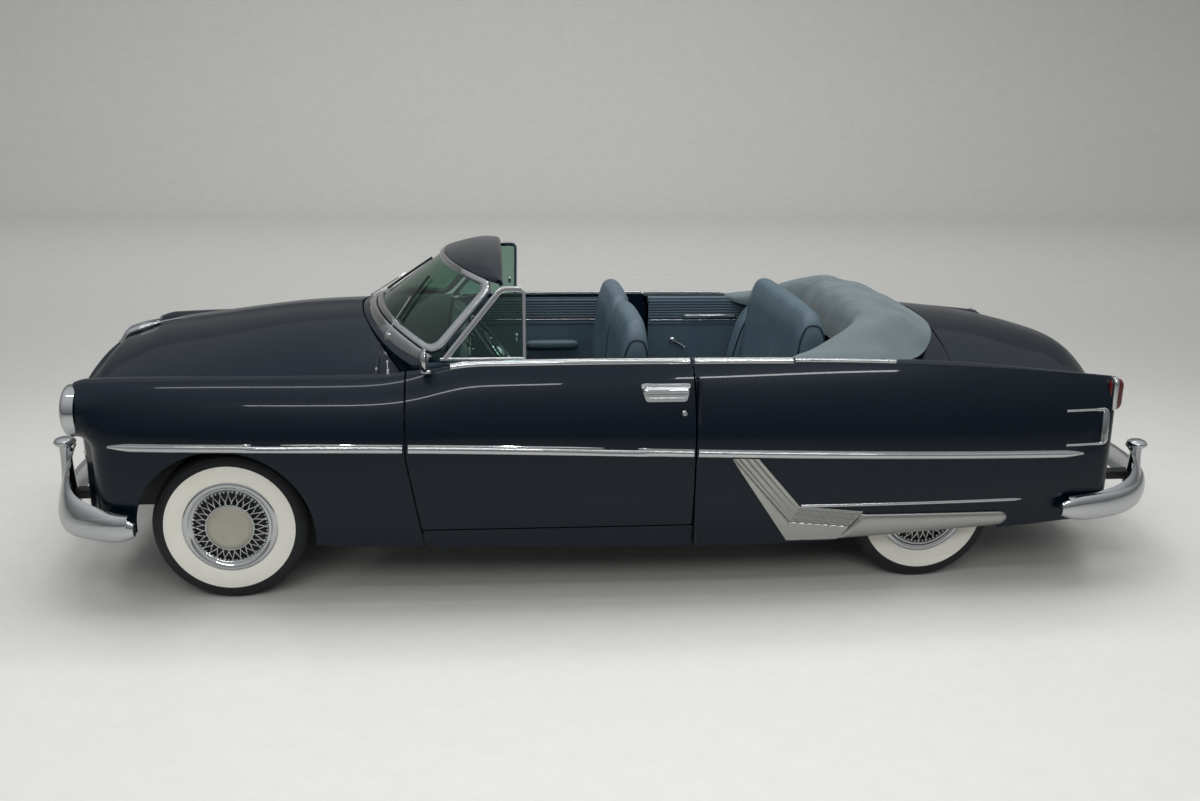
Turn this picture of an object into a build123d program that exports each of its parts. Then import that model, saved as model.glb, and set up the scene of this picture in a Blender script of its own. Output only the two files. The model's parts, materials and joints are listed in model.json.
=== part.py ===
from build123d import *
import os
from math import asin, cos, degrees, radians, sin, sqrt

# A full-size open four-wheeled car of the mid 1950s, in millimetres.
# Every x is measured backwards from the front axle, y is zero on the centre line and z is zero on the ground.
# The nose points to -X. At the end every piece moves together, so that the whole car's box is centred on x = 0.
BOX_CENTRE_X = 1795.0

# Running gear
WHEELBASE = 3150.0
FRONT_TRACK = 1486.0
REAR_TRACK = 1410.0
TYRE_R = 340.0
TYRE_W = 184.0
BEAD_R = 196.0
RIM_W = 140.0
RIM_WALL = 8.0
AXLE_Z = TYRE_R
KINGPIN_INSET = 103.0
KINGPIN_R = 16.0
SPINDLE_R = 20.0
DRUM_R = 148.0
CAP_R = 98.0
SPOKE_OUTER_R = 158.0
SPOKE_COUNT = 28
ARM_LOW_Z = 225.0
ARM_HIGH_Z = 455.0
ARM_T = 26.0

# Clearances
SEAT = 0.3
RUN = 0.1
SHUT = 8.0
SILL_GAP = 6.0

# Body panels
SKIN = 22.0
LID_T = 20.0
DOOR_FRONT_X = 786.0
DOOR_REAR_X = 2029.0
DOOR_SLANT = 58.0
DOOR_SLANT_TOP_Z = 690.0
DOOR_BOTTOM_Z = 358.0
SILL_TOP_Z = DOOR_BOTTOM_Z - SILL_GAP
DOOR_INNER_Y = 792.0
CARD_T = 12.0
HINGE_X = DOOR_FRONT_X - 3.0
HINGE_Y = 975.0
HINGE_R = 4.0
HINGE_HEIGHTS = (560.0, 800.0)
HINGE_H = 40.0
OUTSIDE_Y = 1010.0
BAY_Y = 436.0
BAY_WALL = 18.0
BAY_REAR_X = 640.0
ARCH_R = 386.0
NOSE_Y = 646.0
NOSE_TOP_Z = 888.0

# The hull's cross sections: x, then y and z at the sill, the widest point, the crest and the valley inside it
HULL_ROWS = [
    (-760.0, 790, 350, 845, 762, 770, 978, 650, 930),
    (-450.0, 860, 342, 905, 755, 800, 993, 650, 945),
    (0.0, 905, 315, 950, 745, 822, 1002, 690, 955),
    (480.0, 925, 280, 972, 738, 835, 1006, 708, 965),
    (800.0, 932, 272, 980, 732, 842, 1024, 712, 985),
    (1020.0, 932, 265, 983, 728, 846, 1064, 712, 1010),
    (1200.0, 931, 260, 985, 724, 848, 1072, 712, 1016),
    (1500.0, 930, 252, 986, 716, 848, 1074, 712, 1020),
    (2035.0, 926, 242, 986, 702, 848, 1074, 712, 1020),
    (2700.0, 920, 252, 976, 682, 846, 1068, 710, 1006),
    (3300.0, 902, 275, 950, 664, 835, 1040, 700, 984),
    (3800.0, 868, 306, 908, 650, 815, 998, 684, 890),
    (4150.0, 820, 330, 862, 645, 790, 962, 668, 790),
    (4300.0, 790, 344, 836, 642, 772, 942, 656, 736),
]
CREST_BULGE = 0.06

# Plan of the nose and the tail
NOSE_X = -664.0
NOSE_EDGE = (-640.0, 690.0)
NOSE_CORNER = (-604.0, 832.0)
NOSE_SIDE_X = -470.0
TAIL_SIDE_X = 3850.0
TAIL_CORNER = (3972.0, 885.0)
TAIL_EDGE = (4030.0, 760.0)
TAIL_X = 4235.0

# Crowned panels: x, half width, edge height, crown height
BONNET_ROWS = [
    (-650.0, 560, 930, 975),
    (-560.0, 596, 952, 1042),
    (-430.0, 622, 962, 1084),
    (-200.0, 660, 972, 1122),
    (200.0, 690, 982, 1177),
    (620.0, 704, 996, 1197),
    (780.0, 704, 1004, 1198),
]
COWL_ROWS = [
    (480.0, 704, 990, 1190),
    (680.0, 742, 1022, 1196),
    (800.0, 776, 1052, 1194),
    (960.0, 786, 1072, 1184),
]
TONNEAU_ROWS = [
    (3040.0, 716, 1004, 1166),
    (3290.0, 708, 984, 1152),
]
BONNET_REAR = (530.0, 752.0)
BONNET_HINGE = (-648.0, 884.0)
BONNET_HINGE_Y = 300.0
COWL_REAR_X = 950.0
COWL_DEPTH = 90.0

# Deck lid: y, front height, hip x and z, tail x and z
DECK_ROWS = [
    (-630.0, 1012, 3800, 905, 4030, 740),
    (-420.0, 1092, 3860, 978, 4130, 772),
    (0.0, 1152, 3960, 1034, 4214, 800),
    (420.0, 1092, 3860, 978, 4130, 772),
    (630.0, 1012, 3800, 905, 4030, 740),
]
DECK_FRONT_X = 3290.0
DECK_BOTTOM_Z = 560.0
DECK_BULGE = 22.0
DECK_GAP = 10.0
DECK_HINGE = (3062.0, 1096.0)
DECK_HINGE_Y = 220.0
DECK_PIN_R = 8.0
DECK_ARM_R = 250.0
DECK_ARM_W = 24.0
DECK_ARM_T = 18.0
DECK_ARM_START = -66.0
LID_HINGE_R = 3.5
CABIN_REAR_X = 3040.0
CABIN_HALF = 770.0

# Rear wheel opening
SKIRT_X = (2790.0, 3492.0)
SKIRT_TOP_Z = 428.0
WELL_Y = 570.0
WELL_R = 384.0
WELL_WALL = 8.0

# Floor line from the toe board to the tail, and the front rails' line: x, z
FLOOR_LINE = [(658, 520), (800, 246), (2560, 246), (2640, 560), (3470, 560), (3546, 420), (4200, 420)]
RAIL_LINE = [(-600, 370), (600, 370), (720, 246), (2560, 246), (2640, 560), (3470, 560), (3546, 420), (4120, 420)]
SHEET = 12.0
FLOOR_Y = 790.0
RAIL_Y = (360.0, 430.0)
RAIL_H = 60.0
TUNNEL_R = 104.0
TUNNEL_Z = 290.0

# Bumper brackets, from the frame's ends through holes in the nose and tail panels
BRACKET_Y = (362.0, 428.0)
BRACKET_Z = (344.0, 384.0)
BRACKET_SLOT_Z = (BRACKET_Z[0] - SHUT, BRACKET_Z[1] + SHUT)

# Screen: corner and middle of the glass's foot and head
SCREEN_FOOT = ((905.0, 775.0, 1092.0), (612.0, 0.0, 1206.0))
SCREEN_HEAD = ((1165.0, 690.0, 1388.0), (930.0, 0.0, 1436.0))
GLASS_T = 6.0
FRAME_T = 30.0
FRAME_W = 26.0
FRAME_FRONT = 6.0
FRAME_REACH = 40.0
HEADER_REAR_X = 1206.0
HEADER_EDGE_Z = 1403.0
HEADER_TOP_Z = 1484.0
HEADER_EASE = 1.1

# Lamps
HEADLAMP_Y = 765.0
HEADLAMP_Z = 866.0
LENS_R = 86.0
LAMP_RIM_R = 104.0
TAIL_LAMP_Y = 826.0
TAIL_LAMP_Z = (826.0, 974.0)
GRILLE_HALF = 596.0
GRILLE_Z = (585.0, 800.0)

# Cabin
COLUMN_TILT = 38.0
COLUMN_R = 24.0
STEER_HUB = (1192.0, -350.0, 1000.0)
STEER_SHAFT_R = 9.0
WHEEL_RIM_R = 222.0
SEAT_HALF = 660.0

# Bright side moulding: x and z of its middle
MOULD_LINE = [(-461, 742), (786, 737), (2027, 700), (3840, 642)]
MOULD_H = 38.0
MOULD_GAP = 8.0


def box(x0, x1, y0, y1, z0, z1):
    """Box between two x, two y and two z values."""
    return Pos((x0 + x1) / 2, (y0 + y1) / 2, (z0 + z1) / 2) * Box(abs(x1 - x0), abs(y1 - y0), abs(z1 - z0))


def twin(shape):
    """A right-hand piece and its mirror image, as two solids."""
    return [mirror(shape, about=Plane.XZ), shape]


def slab(points, y0, y1):
    """Prism with an outline in x and z, from y0 to y1."""
    return Pos(0, y1, 0) * extrude(Plane.XZ * make_face(Polyline(*points, close=True)), y1 - y0)


def band(line, thick):
    """Outline of a strip that lies on a line of x, z points, thick upwards or, if negative, downwards."""
    return list(line) + [(x, z + thick) for x, z in reversed(line)]


def rod(p, q, r):
    """Round bar from p to q."""
    p, q = Vector(*p), Vector(*q)
    return Plane(origin=p, z_dir=q - p) * extrude(Circle(r), (q - p).length)


def across(x, z, r, y0, y1):
    """Round bar that lies across the car."""
    return rod((x, y0, z), (x, y1, z), r)


def upright_arc_mid(wide, other):
    """Middle of the arc between two y, z points that stands upright at the wider one."""
    d = wide[0] - other[0]
    h = other[1] - wide[1]
    r = (d * d + h * h) / (2 * d)
    t = asin(h / r) / 2
    return (wide[0] - r + r * cos(t), wide[1] + r * sin(t))


def hull_section(row, wall=0.0, drop=0.0):
    """Closed cross section of the body at one x: sill, side arc, shoulder arc, crest and flat top."""
    x, sy, sz, my, mz, cy, cz, vy, vz = row
    sill, side = (sy - wall, sz - drop), (my - wall, mz)
    crest, valley = (cy - wall, cz - wall), (vy + wall, vz - wall)
    top = ((crest[0] + valley[0]) / 2, max(crest[1], valley[1]) + CREST_BULGE * (cy - vy))
    arcs = [
        (sill, upright_arc_mid(side, sill), side),
        (side, upright_arc_mid(side, crest), crest),
        (crest, top, valley),
    ]
    edges = [Line((x, -sill[0], sill[1]), (x, sill[0], sill[1]))]
    for points in arcs:
        edges.append(ThreePointArc(*[(x, p[0], p[1]) for p in points]))
    edges.append(Line((x, valley[0], valley[1]), (x, -valley[0], valley[1])))
    for points in reversed(arcs):
        edges.append(ThreePointArc(*[(x, -p[0], p[1]) for p in reversed(points)]))
    return Face(Wire(edges))


def hull(wall=0.0, drop=0.0):
    """The lower body as one solid, drawn in by wall and deepened by drop."""
    return loft([hull_section(row, wall, drop) for row in HULL_ROWS])


def plan(inset=0.0):
    """Upright prism over the body's plan, drawn in by inset."""
    nx, ny = NOSE_EDGE[0] + inset, NOSE_EDGE[1] - inset / 2
    tx, ty = TAIL_EDGE[0] - inset, TAIL_EDGE[1] - inset / 2
    side = OUTSIDE_Y - inset
    nc = (NOSE_CORNER[0] + inset, NOSE_CORNER[1] - inset)
    tc = (TAIL_CORNER[0] - inset, TAIL_CORNER[1] - inset)
    edges = [
        ThreePointArc((nx, -ny), (NOSE_X + inset, 0), (nx, ny)),
        ThreePointArc((nx, ny), nc, (NOSE_SIDE_X, side)),
        Line((NOSE_SIDE_X, side), (TAIL_SIDE_X, side)),
        ThreePointArc((TAIL_SIDE_X, side), tc, (tx, ty)),
        ThreePointArc((tx, ty), (TAIL_X - inset, 0), (tx, -ty)),
        ThreePointArc((tx, -ty), (tc[0], -tc[1]), (TAIL_SIDE_X, -side)),
        Line((TAIL_SIDE_X, -side), (NOSE_SIDE_X, -side)),
        ThreePointArc((NOSE_SIDE_X, -side), (nc[0], -nc[1]), (nx, -ny)),
    ]
    return extrude(make_face(edges), 1500)


def crown_section(row, thick):
    """Cross section of a crowned panel at one x: an arc over the car and the same arc below it."""
    x, w, edge, top = row
    edges = [
        ThreePointArc((x, -w, edge), (x, 0, top), (x, w, edge)),
        Line((x, w, edge), (x, w, edge - thick)),
        ThreePointArc((x, w, edge - thick), (x, 0, top - thick), (x, -w, edge - thick)),
        Line((x, -w, edge - thick), (x, -w, edge)),
    ]
    return Face(Wire(edges))


def crown(rows, thick):
    """Crowned panel through a table of x, half width, edge height and crown height."""
    return loft([crown_section(row, thick) for row in rows])


def pocket(gap, drop):
    """Space over the bonnet's ledge: wider than the bonnet by gap and deeper than its edge by drop."""
    faces = []
    for x, w, edge, _ in BONNET_ROWS:
        low = edge - LID_T - drop
        faces.append(Face(Wire(Polyline((x, -w - gap, low), (x, w + gap, low), (x, w + gap, 1400),
                                        (x, -w - gap, 1400), close=True).edges())))
    return loft(faces)


def behind_bonnet(gap):
    """Upright prism behind the bonnet's curved rear edge."""
    middle, corner = BONNET_REAR
    w = BONNET_ROWS[-1][1]
    side_x = middle + gap + (corner - middle) * (OUTSIDE_Y / w) ** 2
    end_x = 2600
    edges = [
        ThreePointArc((side_x, -OUTSIDE_Y), (middle + gap, 0), (side_x, OUTSIDE_Y)),
        Line((side_x, OUTSIDE_Y), (end_x, OUTSIDE_Y)),
        Line((end_x, OUTSIDE_Y), (end_x, -OUTSIDE_Y)),
        Line((end_x, -OUTSIDE_Y), (side_x, -OUTSIDE_Y)),
    ]
    return extrude(make_face(edges), 1500)


def deck_section(row, inset, thick):
    """Side profile of the deck lid at one y, as thick as the panel."""
    y, front_z, hip_x, hip_z, tail_x, tail_z = row

    def outline(t):
        front, hip, end = (DECK_FRONT_X, front_z - t), (hip_x - 0.35 * t, hip_z - t), (tail_x - t, tail_z - 0.3 * t)
        over = ((front[0] + hip[0]) / 2, (front[1] + hip[1]) / 2 + DECK_BULGE)
        bend = (hip[0] + 0.62 * (end[0] - hip[0]), hip[1] + 0.36 * (end[1] - hip[1]))
        return [(p[0], y, p[1]) for p in (front, over, hip, bend, end, (end[0] + 6, DECK_BOTTOM_Z))]

    a, b = outline(inset), outline(inset + thick)
    edges = [
        ThreePointArc(a[0], a[1], a[2]),
        ThreePointArc(a[2], a[3], a[4]),
        Line(a[4], a[5]),
        Line(a[5], b[5]),
        Line(b[5], b[4]),
        ThreePointArc(b[4], b[3], b[2]),
        ThreePointArc(b[2], b[1], b[0]),
        Line(b[0], a[0]),
    ]
    return Face(Wire(edges))


def gooseneck(y):
    """Curved arm of the deck lid: an eye round its pin, a bar down, and an arc round the tonneau's rear edge."""
    hx, hz = DECK_HINGE
    side, middle = DECK_ROWS[-2], DECK_ROWS[2]
    lid_z = middle[1] + (side[1] - middle[1]) * (y / side[0]) ** 2 - LID_T / 2
    last = degrees(asin((lid_z - hz) / DECK_ARM_R))

    def at(r, angle):
        return (hx + r * cos(radians(angle)), hz + r * sin(radians(angle)))

    r0, r1 = DECK_ARM_R - DECK_ARM_W / 2, DECK_ARM_R + DECK_ARM_W / 2
    mid = (DECK_ARM_START + last) / 2
    edges = [
        ThreePointArc(at(r0, DECK_ARM_START), at(r0, mid), at(r0, last)),
        Line(at(r0, last), at(r1, last)),
        ThreePointArc(at(r1, last), at(r1, mid), at(r1, DECK_ARM_START)),
        Line(at(r1, DECK_ARM_START), at(r0, DECK_ARM_START)),
    ]
    half = DECK_ARM_T / 2
    arc = Pos(0, y + half, 0) * extrude(Plane.XZ * make_face(edges), DECK_ARM_T)
    spread = degrees(DECK_PIN_R / DECK_ARM_R)
    bar = slab([(hx, hz), at(r1, DECK_ARM_START), at(r1, DECK_ARM_START + spread), at(60, DECK_ARM_START + 20)],
               y - half, y + half)
    eye = across(hx, hz, DECK_PIN_R + 9, y - half, y + half)
    return (arc + bar + eye) - across(hx, hz, DECK_PIN_R + RUN, y - half, y + half)


def door_space(gap):
    """Space that the right door fills, its rear edge on an arc round the hinge, wider by gap at its shut lines."""
    front, bottom = DOOR_FRONT_X - gap, DOOR_BOTTOM_Z - (SILL_GAP if gap else 0.0)
    profile = [(front, DOOR_SLANT_TOP_Z), (front + DOOR_SLANT, bottom), (2400, bottom), (2400, 1400), (front, 1400)]
    inner = DOOR_INNER_Y - (1 if gap else 0)
    return slab(profile, inner, 1100) & Pos(HINGE_X, HINGE_Y, 0) * extrude(Circle(DOOR_REAR_X - HINGE_X + gap), 1600)


def hinge_rods(r, extra=0.0):
    """Short round bars on the right door's axis: its pins, or the spaces round them."""
    return [Pos(HINGE_X, HINGE_Y, z) * Cylinder(r, HINGE_H + extra) for z in HINGE_HEIGHTS]


def on_side(points, out, base=SEAT):
    """A strip laid on the right side of the body: an x, z outline, standing out from the skin."""
    return (hull(-out) & slab(points, 700, 1100)) - hull(-base, 30)


def mould_z(x):
    """Height of the side moulding's middle at one x."""
    for (x0, z0), (x1, z1) in zip(MOULD_LINE, MOULD_LINE[1:]):
        if x <= x1:
            return z0 + (z1 - z0) * (x - x0) / (x1 - x0)
    return MOULD_LINE[-1][1]


def mould_strip(x0, x1):
    """Outline of the side moulding between two x."""
    xs = [x0] + [x for x, _ in MOULD_LINE if x0 < x < x1] + [x1]
    low = [(x, mould_z(x) - MOULD_H / 2) for x in xs]
    return low + [(x, z + MOULD_H) for x, z in reversed(low)]


def screen_band(points, front, back):
    """Flat crescent round the screen's edge arc, from front ahead of it to back behind it."""
    (cx, cy, cz), (mx, _, mz) = points
    run = sqrt((cx - mx) ** 2 + (cz - mz) ** 2)
    ux, uz = (cx - mx) / run, (cz - mz) / run

    def arc(shift, flip):
        s = -cy if flip else cy
        ends = ((cx + ux * shift, -s, cz + uz * shift), (cx + ux * shift, s, cz + uz * shift))
        return ThreePointArc(ends[0], (mx + ux * shift, 0, mz + uz * shift), ends[1])

    a, b = arc(-front, False), arc(back, True)
    return Face(Wire([a, Line(a @ 1, b @ 0), b, Line(b @ 1, a @ 0)]))


def screen_layer(front, back, trim=0.0, reach=0.0):
    """The screen's sloping sheet between two depths, drawn in by trim round its edge, its foot lower by reach."""
    (foot_corner, foot_middle), (head_corner, head_middle) = SCREEN_FOOT, SCREEN_HEAD
    height = sqrt((head_corner[0] - foot_corner[0]) ** 2 + (head_corner[2] - foot_corner[2]) ** 2)

    def edge(t):
        corner = [a + (b - a) * t for a, b in zip(foot_corner, head_corner)]
        middle = [a + (b - a) * t for a, b in zip(foot_middle, head_middle)]
        corner[1] -= trim
        return screen_band((corner, middle), front, back)

    return loft([edge((trim - reach) / height), edge(1 - trim / height)])


def bracket_slot(side):
    """The two y of the hole that a bumper bracket passes through, on the side of the sign given."""
    s = 1 if side > 0 else -1
    return (s * (BRACKET_Y[0] - SHUT), s * (BRACKET_Y[1] + SHUT))


def ring_of(profile):
    """A body of revolution about the y axis from an outline of radius and y."""
    return revolve(make_face(Polyline(*profile, close=True)), Axis.Y)


def build_front():
    """Front wings, nose panel, bonnet and cowl."""
    nodes = {}
    outer = hull() & plan()
    inner = hull(SKIN, 80) & plan(SKIN)
    wing_x = DOOR_FRONT_X - SHUT
    zone = box(-720, wing_x + DOOR_SLANT, BAY_Y, OUTSIDE_Y, 0, 1200) - door_space(SHUT)
    zone = zone - box(BAY_REAR_X, 1000, 0, DOOR_INNER_Y, 0, 1200) - box(-800, -430, 0, NOSE_Y + SEAT, 0, 1200)
    zone = zone - box(wing_x, 1000, 0, OUTSIDE_Y, 0, SILL_TOP_Z + SEAT)
    ledge = pocket(SHUT, SHUT) - behind_bonnet(SHUT)
    under_ledge = pocket(SHUT + 14, SHUT + 14) - behind_bonnet(SHUT + 14)
    void = (inner & box(-640, wing_x - 40, BAY_Y + BAY_WALL, OUTSIDE_Y, -100, 1200)) - under_ledge
    wing = (outer & zone) - void - ledge
    wing = wing - across(0, AXLE_Z, ARCH_R, 800, 1100)
    wing = wing - box(-170, 170, BAY_Y - 10, BAY_Y + BAY_WALL + 10, 0, 560)
    wing = wing - rod((-720, HEADLAMP_Y, HEADLAMP_Z), (-560, HEADLAMP_Y, HEADLAMP_Z), LENS_R + 2)
    leaves = [box(HINGE_X - 30, HINGE_X, HINGE_Y - HINGE_R, HINGE_Y, z - HINGE_H / 2, z + HINGE_H / 2)
              for z in HINGE_HEIGHTS]
    wing = (wing - hinge_rods(HINGE_R + 2, 12)) + hinge_rods(HINGE_R) + leaves
    nodes["front_wings"] = twin(wing)

    nose = (outer - inner) & box(-760, -560, -NOSE_Y, NOSE_Y, 300, NOSE_TOP_Z)
    nose = nose - box(-800, -500, -GRILLE_HALF, GRILLE_HALF, *GRILLE_Z)
    hx, hz = BONNET_HINGE
    for y in (-BONNET_HINGE_Y, BONNET_HINGE_Y):
        nose = nose - box(-800, -500, y - 20, y + 20, hz - 20, 900)
        nose = nose - box(-800, -500, *bracket_slot(y), *BRACKET_SLOT_Z)
        nose = nose + [box(hx - 6, hx + 30, y + t - 5, y + t + 5, hz - 50, hz + 6) for t in (-25, 25)]
        nose = nose + across(hx, hz, LID_HINGE_R, y - 25, y + 25)
    nodes["nose_panel"] = [nose]

    lugs = [box(hx - 8, hx + 12, y - 16, y + 16, hz - 8, hz + 62) for y in (-BONNET_HINGE_Y, BONNET_HINGE_Y)]
    bonnet = (crown(BONNET_ROWS, LID_T) - behind_bonnet(0)) + lugs
    bonnet = bonnet - across(hx, hz, LID_HINGE_R + RUN, -400, 400)
    nodes["bonnet"] = [bonnet]

    top = crown(COWL_ROWS, COWL_DEPTH) & behind_bonnet(SHUT) & box(400, COWL_REAR_X, -791, 791, 0, 1300)
    sides = outer & box(BAY_REAR_X + SEAT, COWL_REAR_X, -DOOR_INNER_Y + 1, DOOR_INNER_Y - 1, 940, 1200)
    sides = sides - box(400, 1200, -700, 700, 0, 1400)
    wall = box(BAY_REAR_X + SEAT, BAY_REAR_X + 16, -DOOR_INNER_Y + 1, DOOR_INNER_Y - 1, 262, 1150)
    wall = wall & (crown(COWL_ROWS, 900) + outer)
    cowl = (top + sides + wall) - ledge
    cowl = cowl - twin(box(600, 700, RAIL_Y[0] - 4, RAIL_Y[1] + 4, 200, 332))
    cowl = cowl - rod((600, 0, TUNNEL_Z), (700, 0, TUNNEL_Z), TUNNEL_R + 20) - box(600, 700, -124, 124, 200, TUNNEL_Z)
    nodes["cowl"] = [cowl]
    return nodes


def build_rear():
    """Rear quarters with the tonneau and tail panels, deck lid, wheel skirts and sills."""
    nodes = {}
    outer = hull() & plan()
    inner = hull(SKIN, 80) & plan(SKIN)
    near_jamb = box(1900, 2200, 0, OUTSIDE_Y, 0, 1600)
    reach = DOOR_REAR_X - HINGE_X + SHUT
    jamb = Pos(HINGE_X, HINGE_Y, 0) * extrude(Circle(reach), 1600) & near_jamb
    jamb_wall = Pos(HINGE_X, HINGE_Y, 0) * extrude(Circle(reach + LID_T), 1600) & near_jamb
    front_x = DOOR_REAR_X + SHUT
    body = outer & box(front_x, 4400, -OUTSIDE_Y, OUTSIDE_Y, 0, 1200)
    void = inner & box(front_x + LID_T, 4400, -OUTSIDE_Y, OUTSIDE_Y, -100, 1200)
    body = body - (void - twin(jamb_wall))
    body = body - [shape & box(1900, 2200, -OUTSIDE_Y, OUTSIDE_Y, SILL_TOP_Z, 1600) for shape in twin(jamb)]
    body = body - box(2000, CABIN_REAR_X, -CABIN_HALF, CABIN_HALF, 0, 1200)
    valley_z = 900
    deck_half = DECK_ROWS[-1][0] + SHUT
    deck_x = DECK_FRONT_X - DECK_GAP
    body = body - box(deck_x, 4400, -deck_half, deck_half, DECK_BOTTOM_Z - SHUT, 1300)
    body = body - box(CABIN_REAR_X - 1, deck_x + 1, -deck_half, deck_half, valley_z, 1300)
    body = body + (crown(TONNEAU_ROWS, SKIN) & box(CABIN_REAR_X, deck_x, -deck_half - 60, deck_half + 60, 900, 1300))
    opening = slab([(SKIRT_X[0], 0), (SKIRT_X[0], 380), (SKIRT_X[0] + 60, SKIRT_TOP_Z), (SKIRT_X[1] - 60, SKIRT_TOP_Z),
                    (SKIRT_X[1], 380), (SKIRT_X[1], 0)], 800, 1100)
    well = across(WHEELBASE, AXLE_Z, WELL_R + WELL_WALL, WELL_Y, OUTSIDE_Y) & box(2400, 3900, 0, OUTSIDE_Y, 300, 900)
    hollow = across(WHEELBASE, AXLE_Z, WELL_R, WELL_Y + WELL_WALL, OUTSIDE_Y) & hull(SKIN, 80)
    body = body + twin((well & hull()) - hollow) - twin(opening)
    body = body - twin(box(WHEELBASE - 60, WHEELBASE + 60, WELL_Y - 5, WELL_Y + WELL_WALL + 5, 0, 470))
    body = body - twin(box(4000, 4400, *bracket_slot(1), *BRACKET_SLOT_Z))
    floor_top = FLOOR_LINE[1][1] + SHEET + SEAT
    body = body - box(2000, 2100, -FLOOR_Y - SEAT, FLOOR_Y + SEAT, 0, floor_top)
    hx, hz = DECK_HINGE
    ear = DECK_ARM_T / 2 + 1
    for y in (-DECK_HINGE_Y, DECK_HINGE_Y):
        ears = [box(hx - 16, hx + 16, y + s * ear, y + s * (ear + 8), hz - 14, hz + 40) for s in (-1, 1)]
        body = body + ears + across(hx, hz, DECK_PIN_R, y - ear - 8, y + ear + 8)
    nodes["rear_body"] = [body]

    lid = loft([deck_section(row, 0, LID_T) for row in DECK_ROWS])
    nodes["deck_lid"] = [lid + [gooseneck(y) for y in (-DECK_HINGE_Y, DECK_HINGE_Y)]]

    skirt_outline = [(SKIRT_X[0] + SEAT, 290), (SKIRT_X[0] + SEAT, 380), (SKIRT_X[0] + 60, SKIRT_TOP_Z - SEAT),
                     (SKIRT_X[1] - 60, SKIRT_TOP_Z - SEAT), (SKIRT_X[1] - SEAT, 380), (SKIRT_X[1] - SEAT, 300)]
    skirt = (hull(-3) - hull(15, 80)) & slab(skirt_outline, 800, 1100)
    nodes["rear_skirts"] = twin(skirt)
    sill = outer & box(DOOR_FRONT_X - SHUT + SEAT, front_x - SEAT, FLOOR_Y + SEAT, OUTSIDE_Y, 0, SILL_TOP_Z)
    nodes["sills"] = twin(sill)
    return nodes


def build_doors():
    """Doors with their inner cards, one pair for each side."""
    nodes = {}
    door = (hull() & door_space(0)) - hinge_rods(HINGE_R + RUN, 12)
    door = door - box(1330, 1960, DOOR_INNER_Y + 20, DOOR_INNER_Y + 34, 990, 1200)
    card = slab([(DOOR_FRONT_X + 60, 380), (DOOR_REAR_X - 90, 380), (DOOR_REAR_X - 90, 1030), (970, 1030),
                 (970, 900), (DOOR_FRONT_X + 60, 860)], DOOR_INNER_Y - CARD_T - SEAT, DOOR_INNER_Y - SEAT)
    rest = box(1350, 1720, DOOR_INNER_Y - 60, DOOR_INNER_Y - CARD_T - SEAT, 760, 800)
    card = card + fillet(rest.edges().filter_by(Axis.Z), 20)
    for name, shapes in (("right", (door, card)), ("left", [mirror(s, about=Plane.XZ) for s in (door, card)])):
        nodes["door_" + name], nodes["door_card_" + name] = [shapes[0]], [shapes[1]]
    return nodes


def build_door_trim():
    """Bright side moulding, handle, quarter-light frame and belt strip of each door, and the glass."""
    nodes = {}
    mould = on_side(mould_strip(DOOR_FRONT_X + MOULD_GAP, DOOR_REAR_X - 6), 9)
    handle = on_side([(1800, 925), (1990, 925), (1990, 985), (1800, 985)], 5)
    belt = box(DOOR_FRONT_X + 170, DOOR_REAR_X - 40, DOOR_INNER_Y + 1, DOOR_INNER_Y + 17, 1040, 1092)
    foot, head, post_head, post_foot = (950, 800, 1082), (1196, 722, 1376), (1295, 722, 1376), (1295, 800, 1082)
    frame = rod(foot, head, 8) + rod(head, post_head, 8) + rod(post_head, post_foot, 8)
    frame = frame + [Pos(*p) * Sphere(8) for p in (head, post_head)]
    skin = hull(-SEAT)
    pieces = [mould, handle, (belt + frame) - skin]
    pane = extrude(Face(Wire(Polyline(foot, head, post_head, post_foot, close=True).edges())), 2, both=True)
    pane = (pane - [rod(p, q, 8 + SEAT) for p, q in ((foot, head), (head, post_head), (post_head, post_foot))])
    pane = pane & box(900, 1400, 600, 900, 1092 + SEAT, 1400)
    for name, flip in (("right", False), ("left", True)):
        nodes["door_brightwork_" + name] = [mirror(s, about=Plane.XZ) if flip else s for s in pieces]
        nodes["quarter_light_" + name] = [mirror(pane, about=Plane.XZ) if flip else pane]
    return nodes


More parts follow.
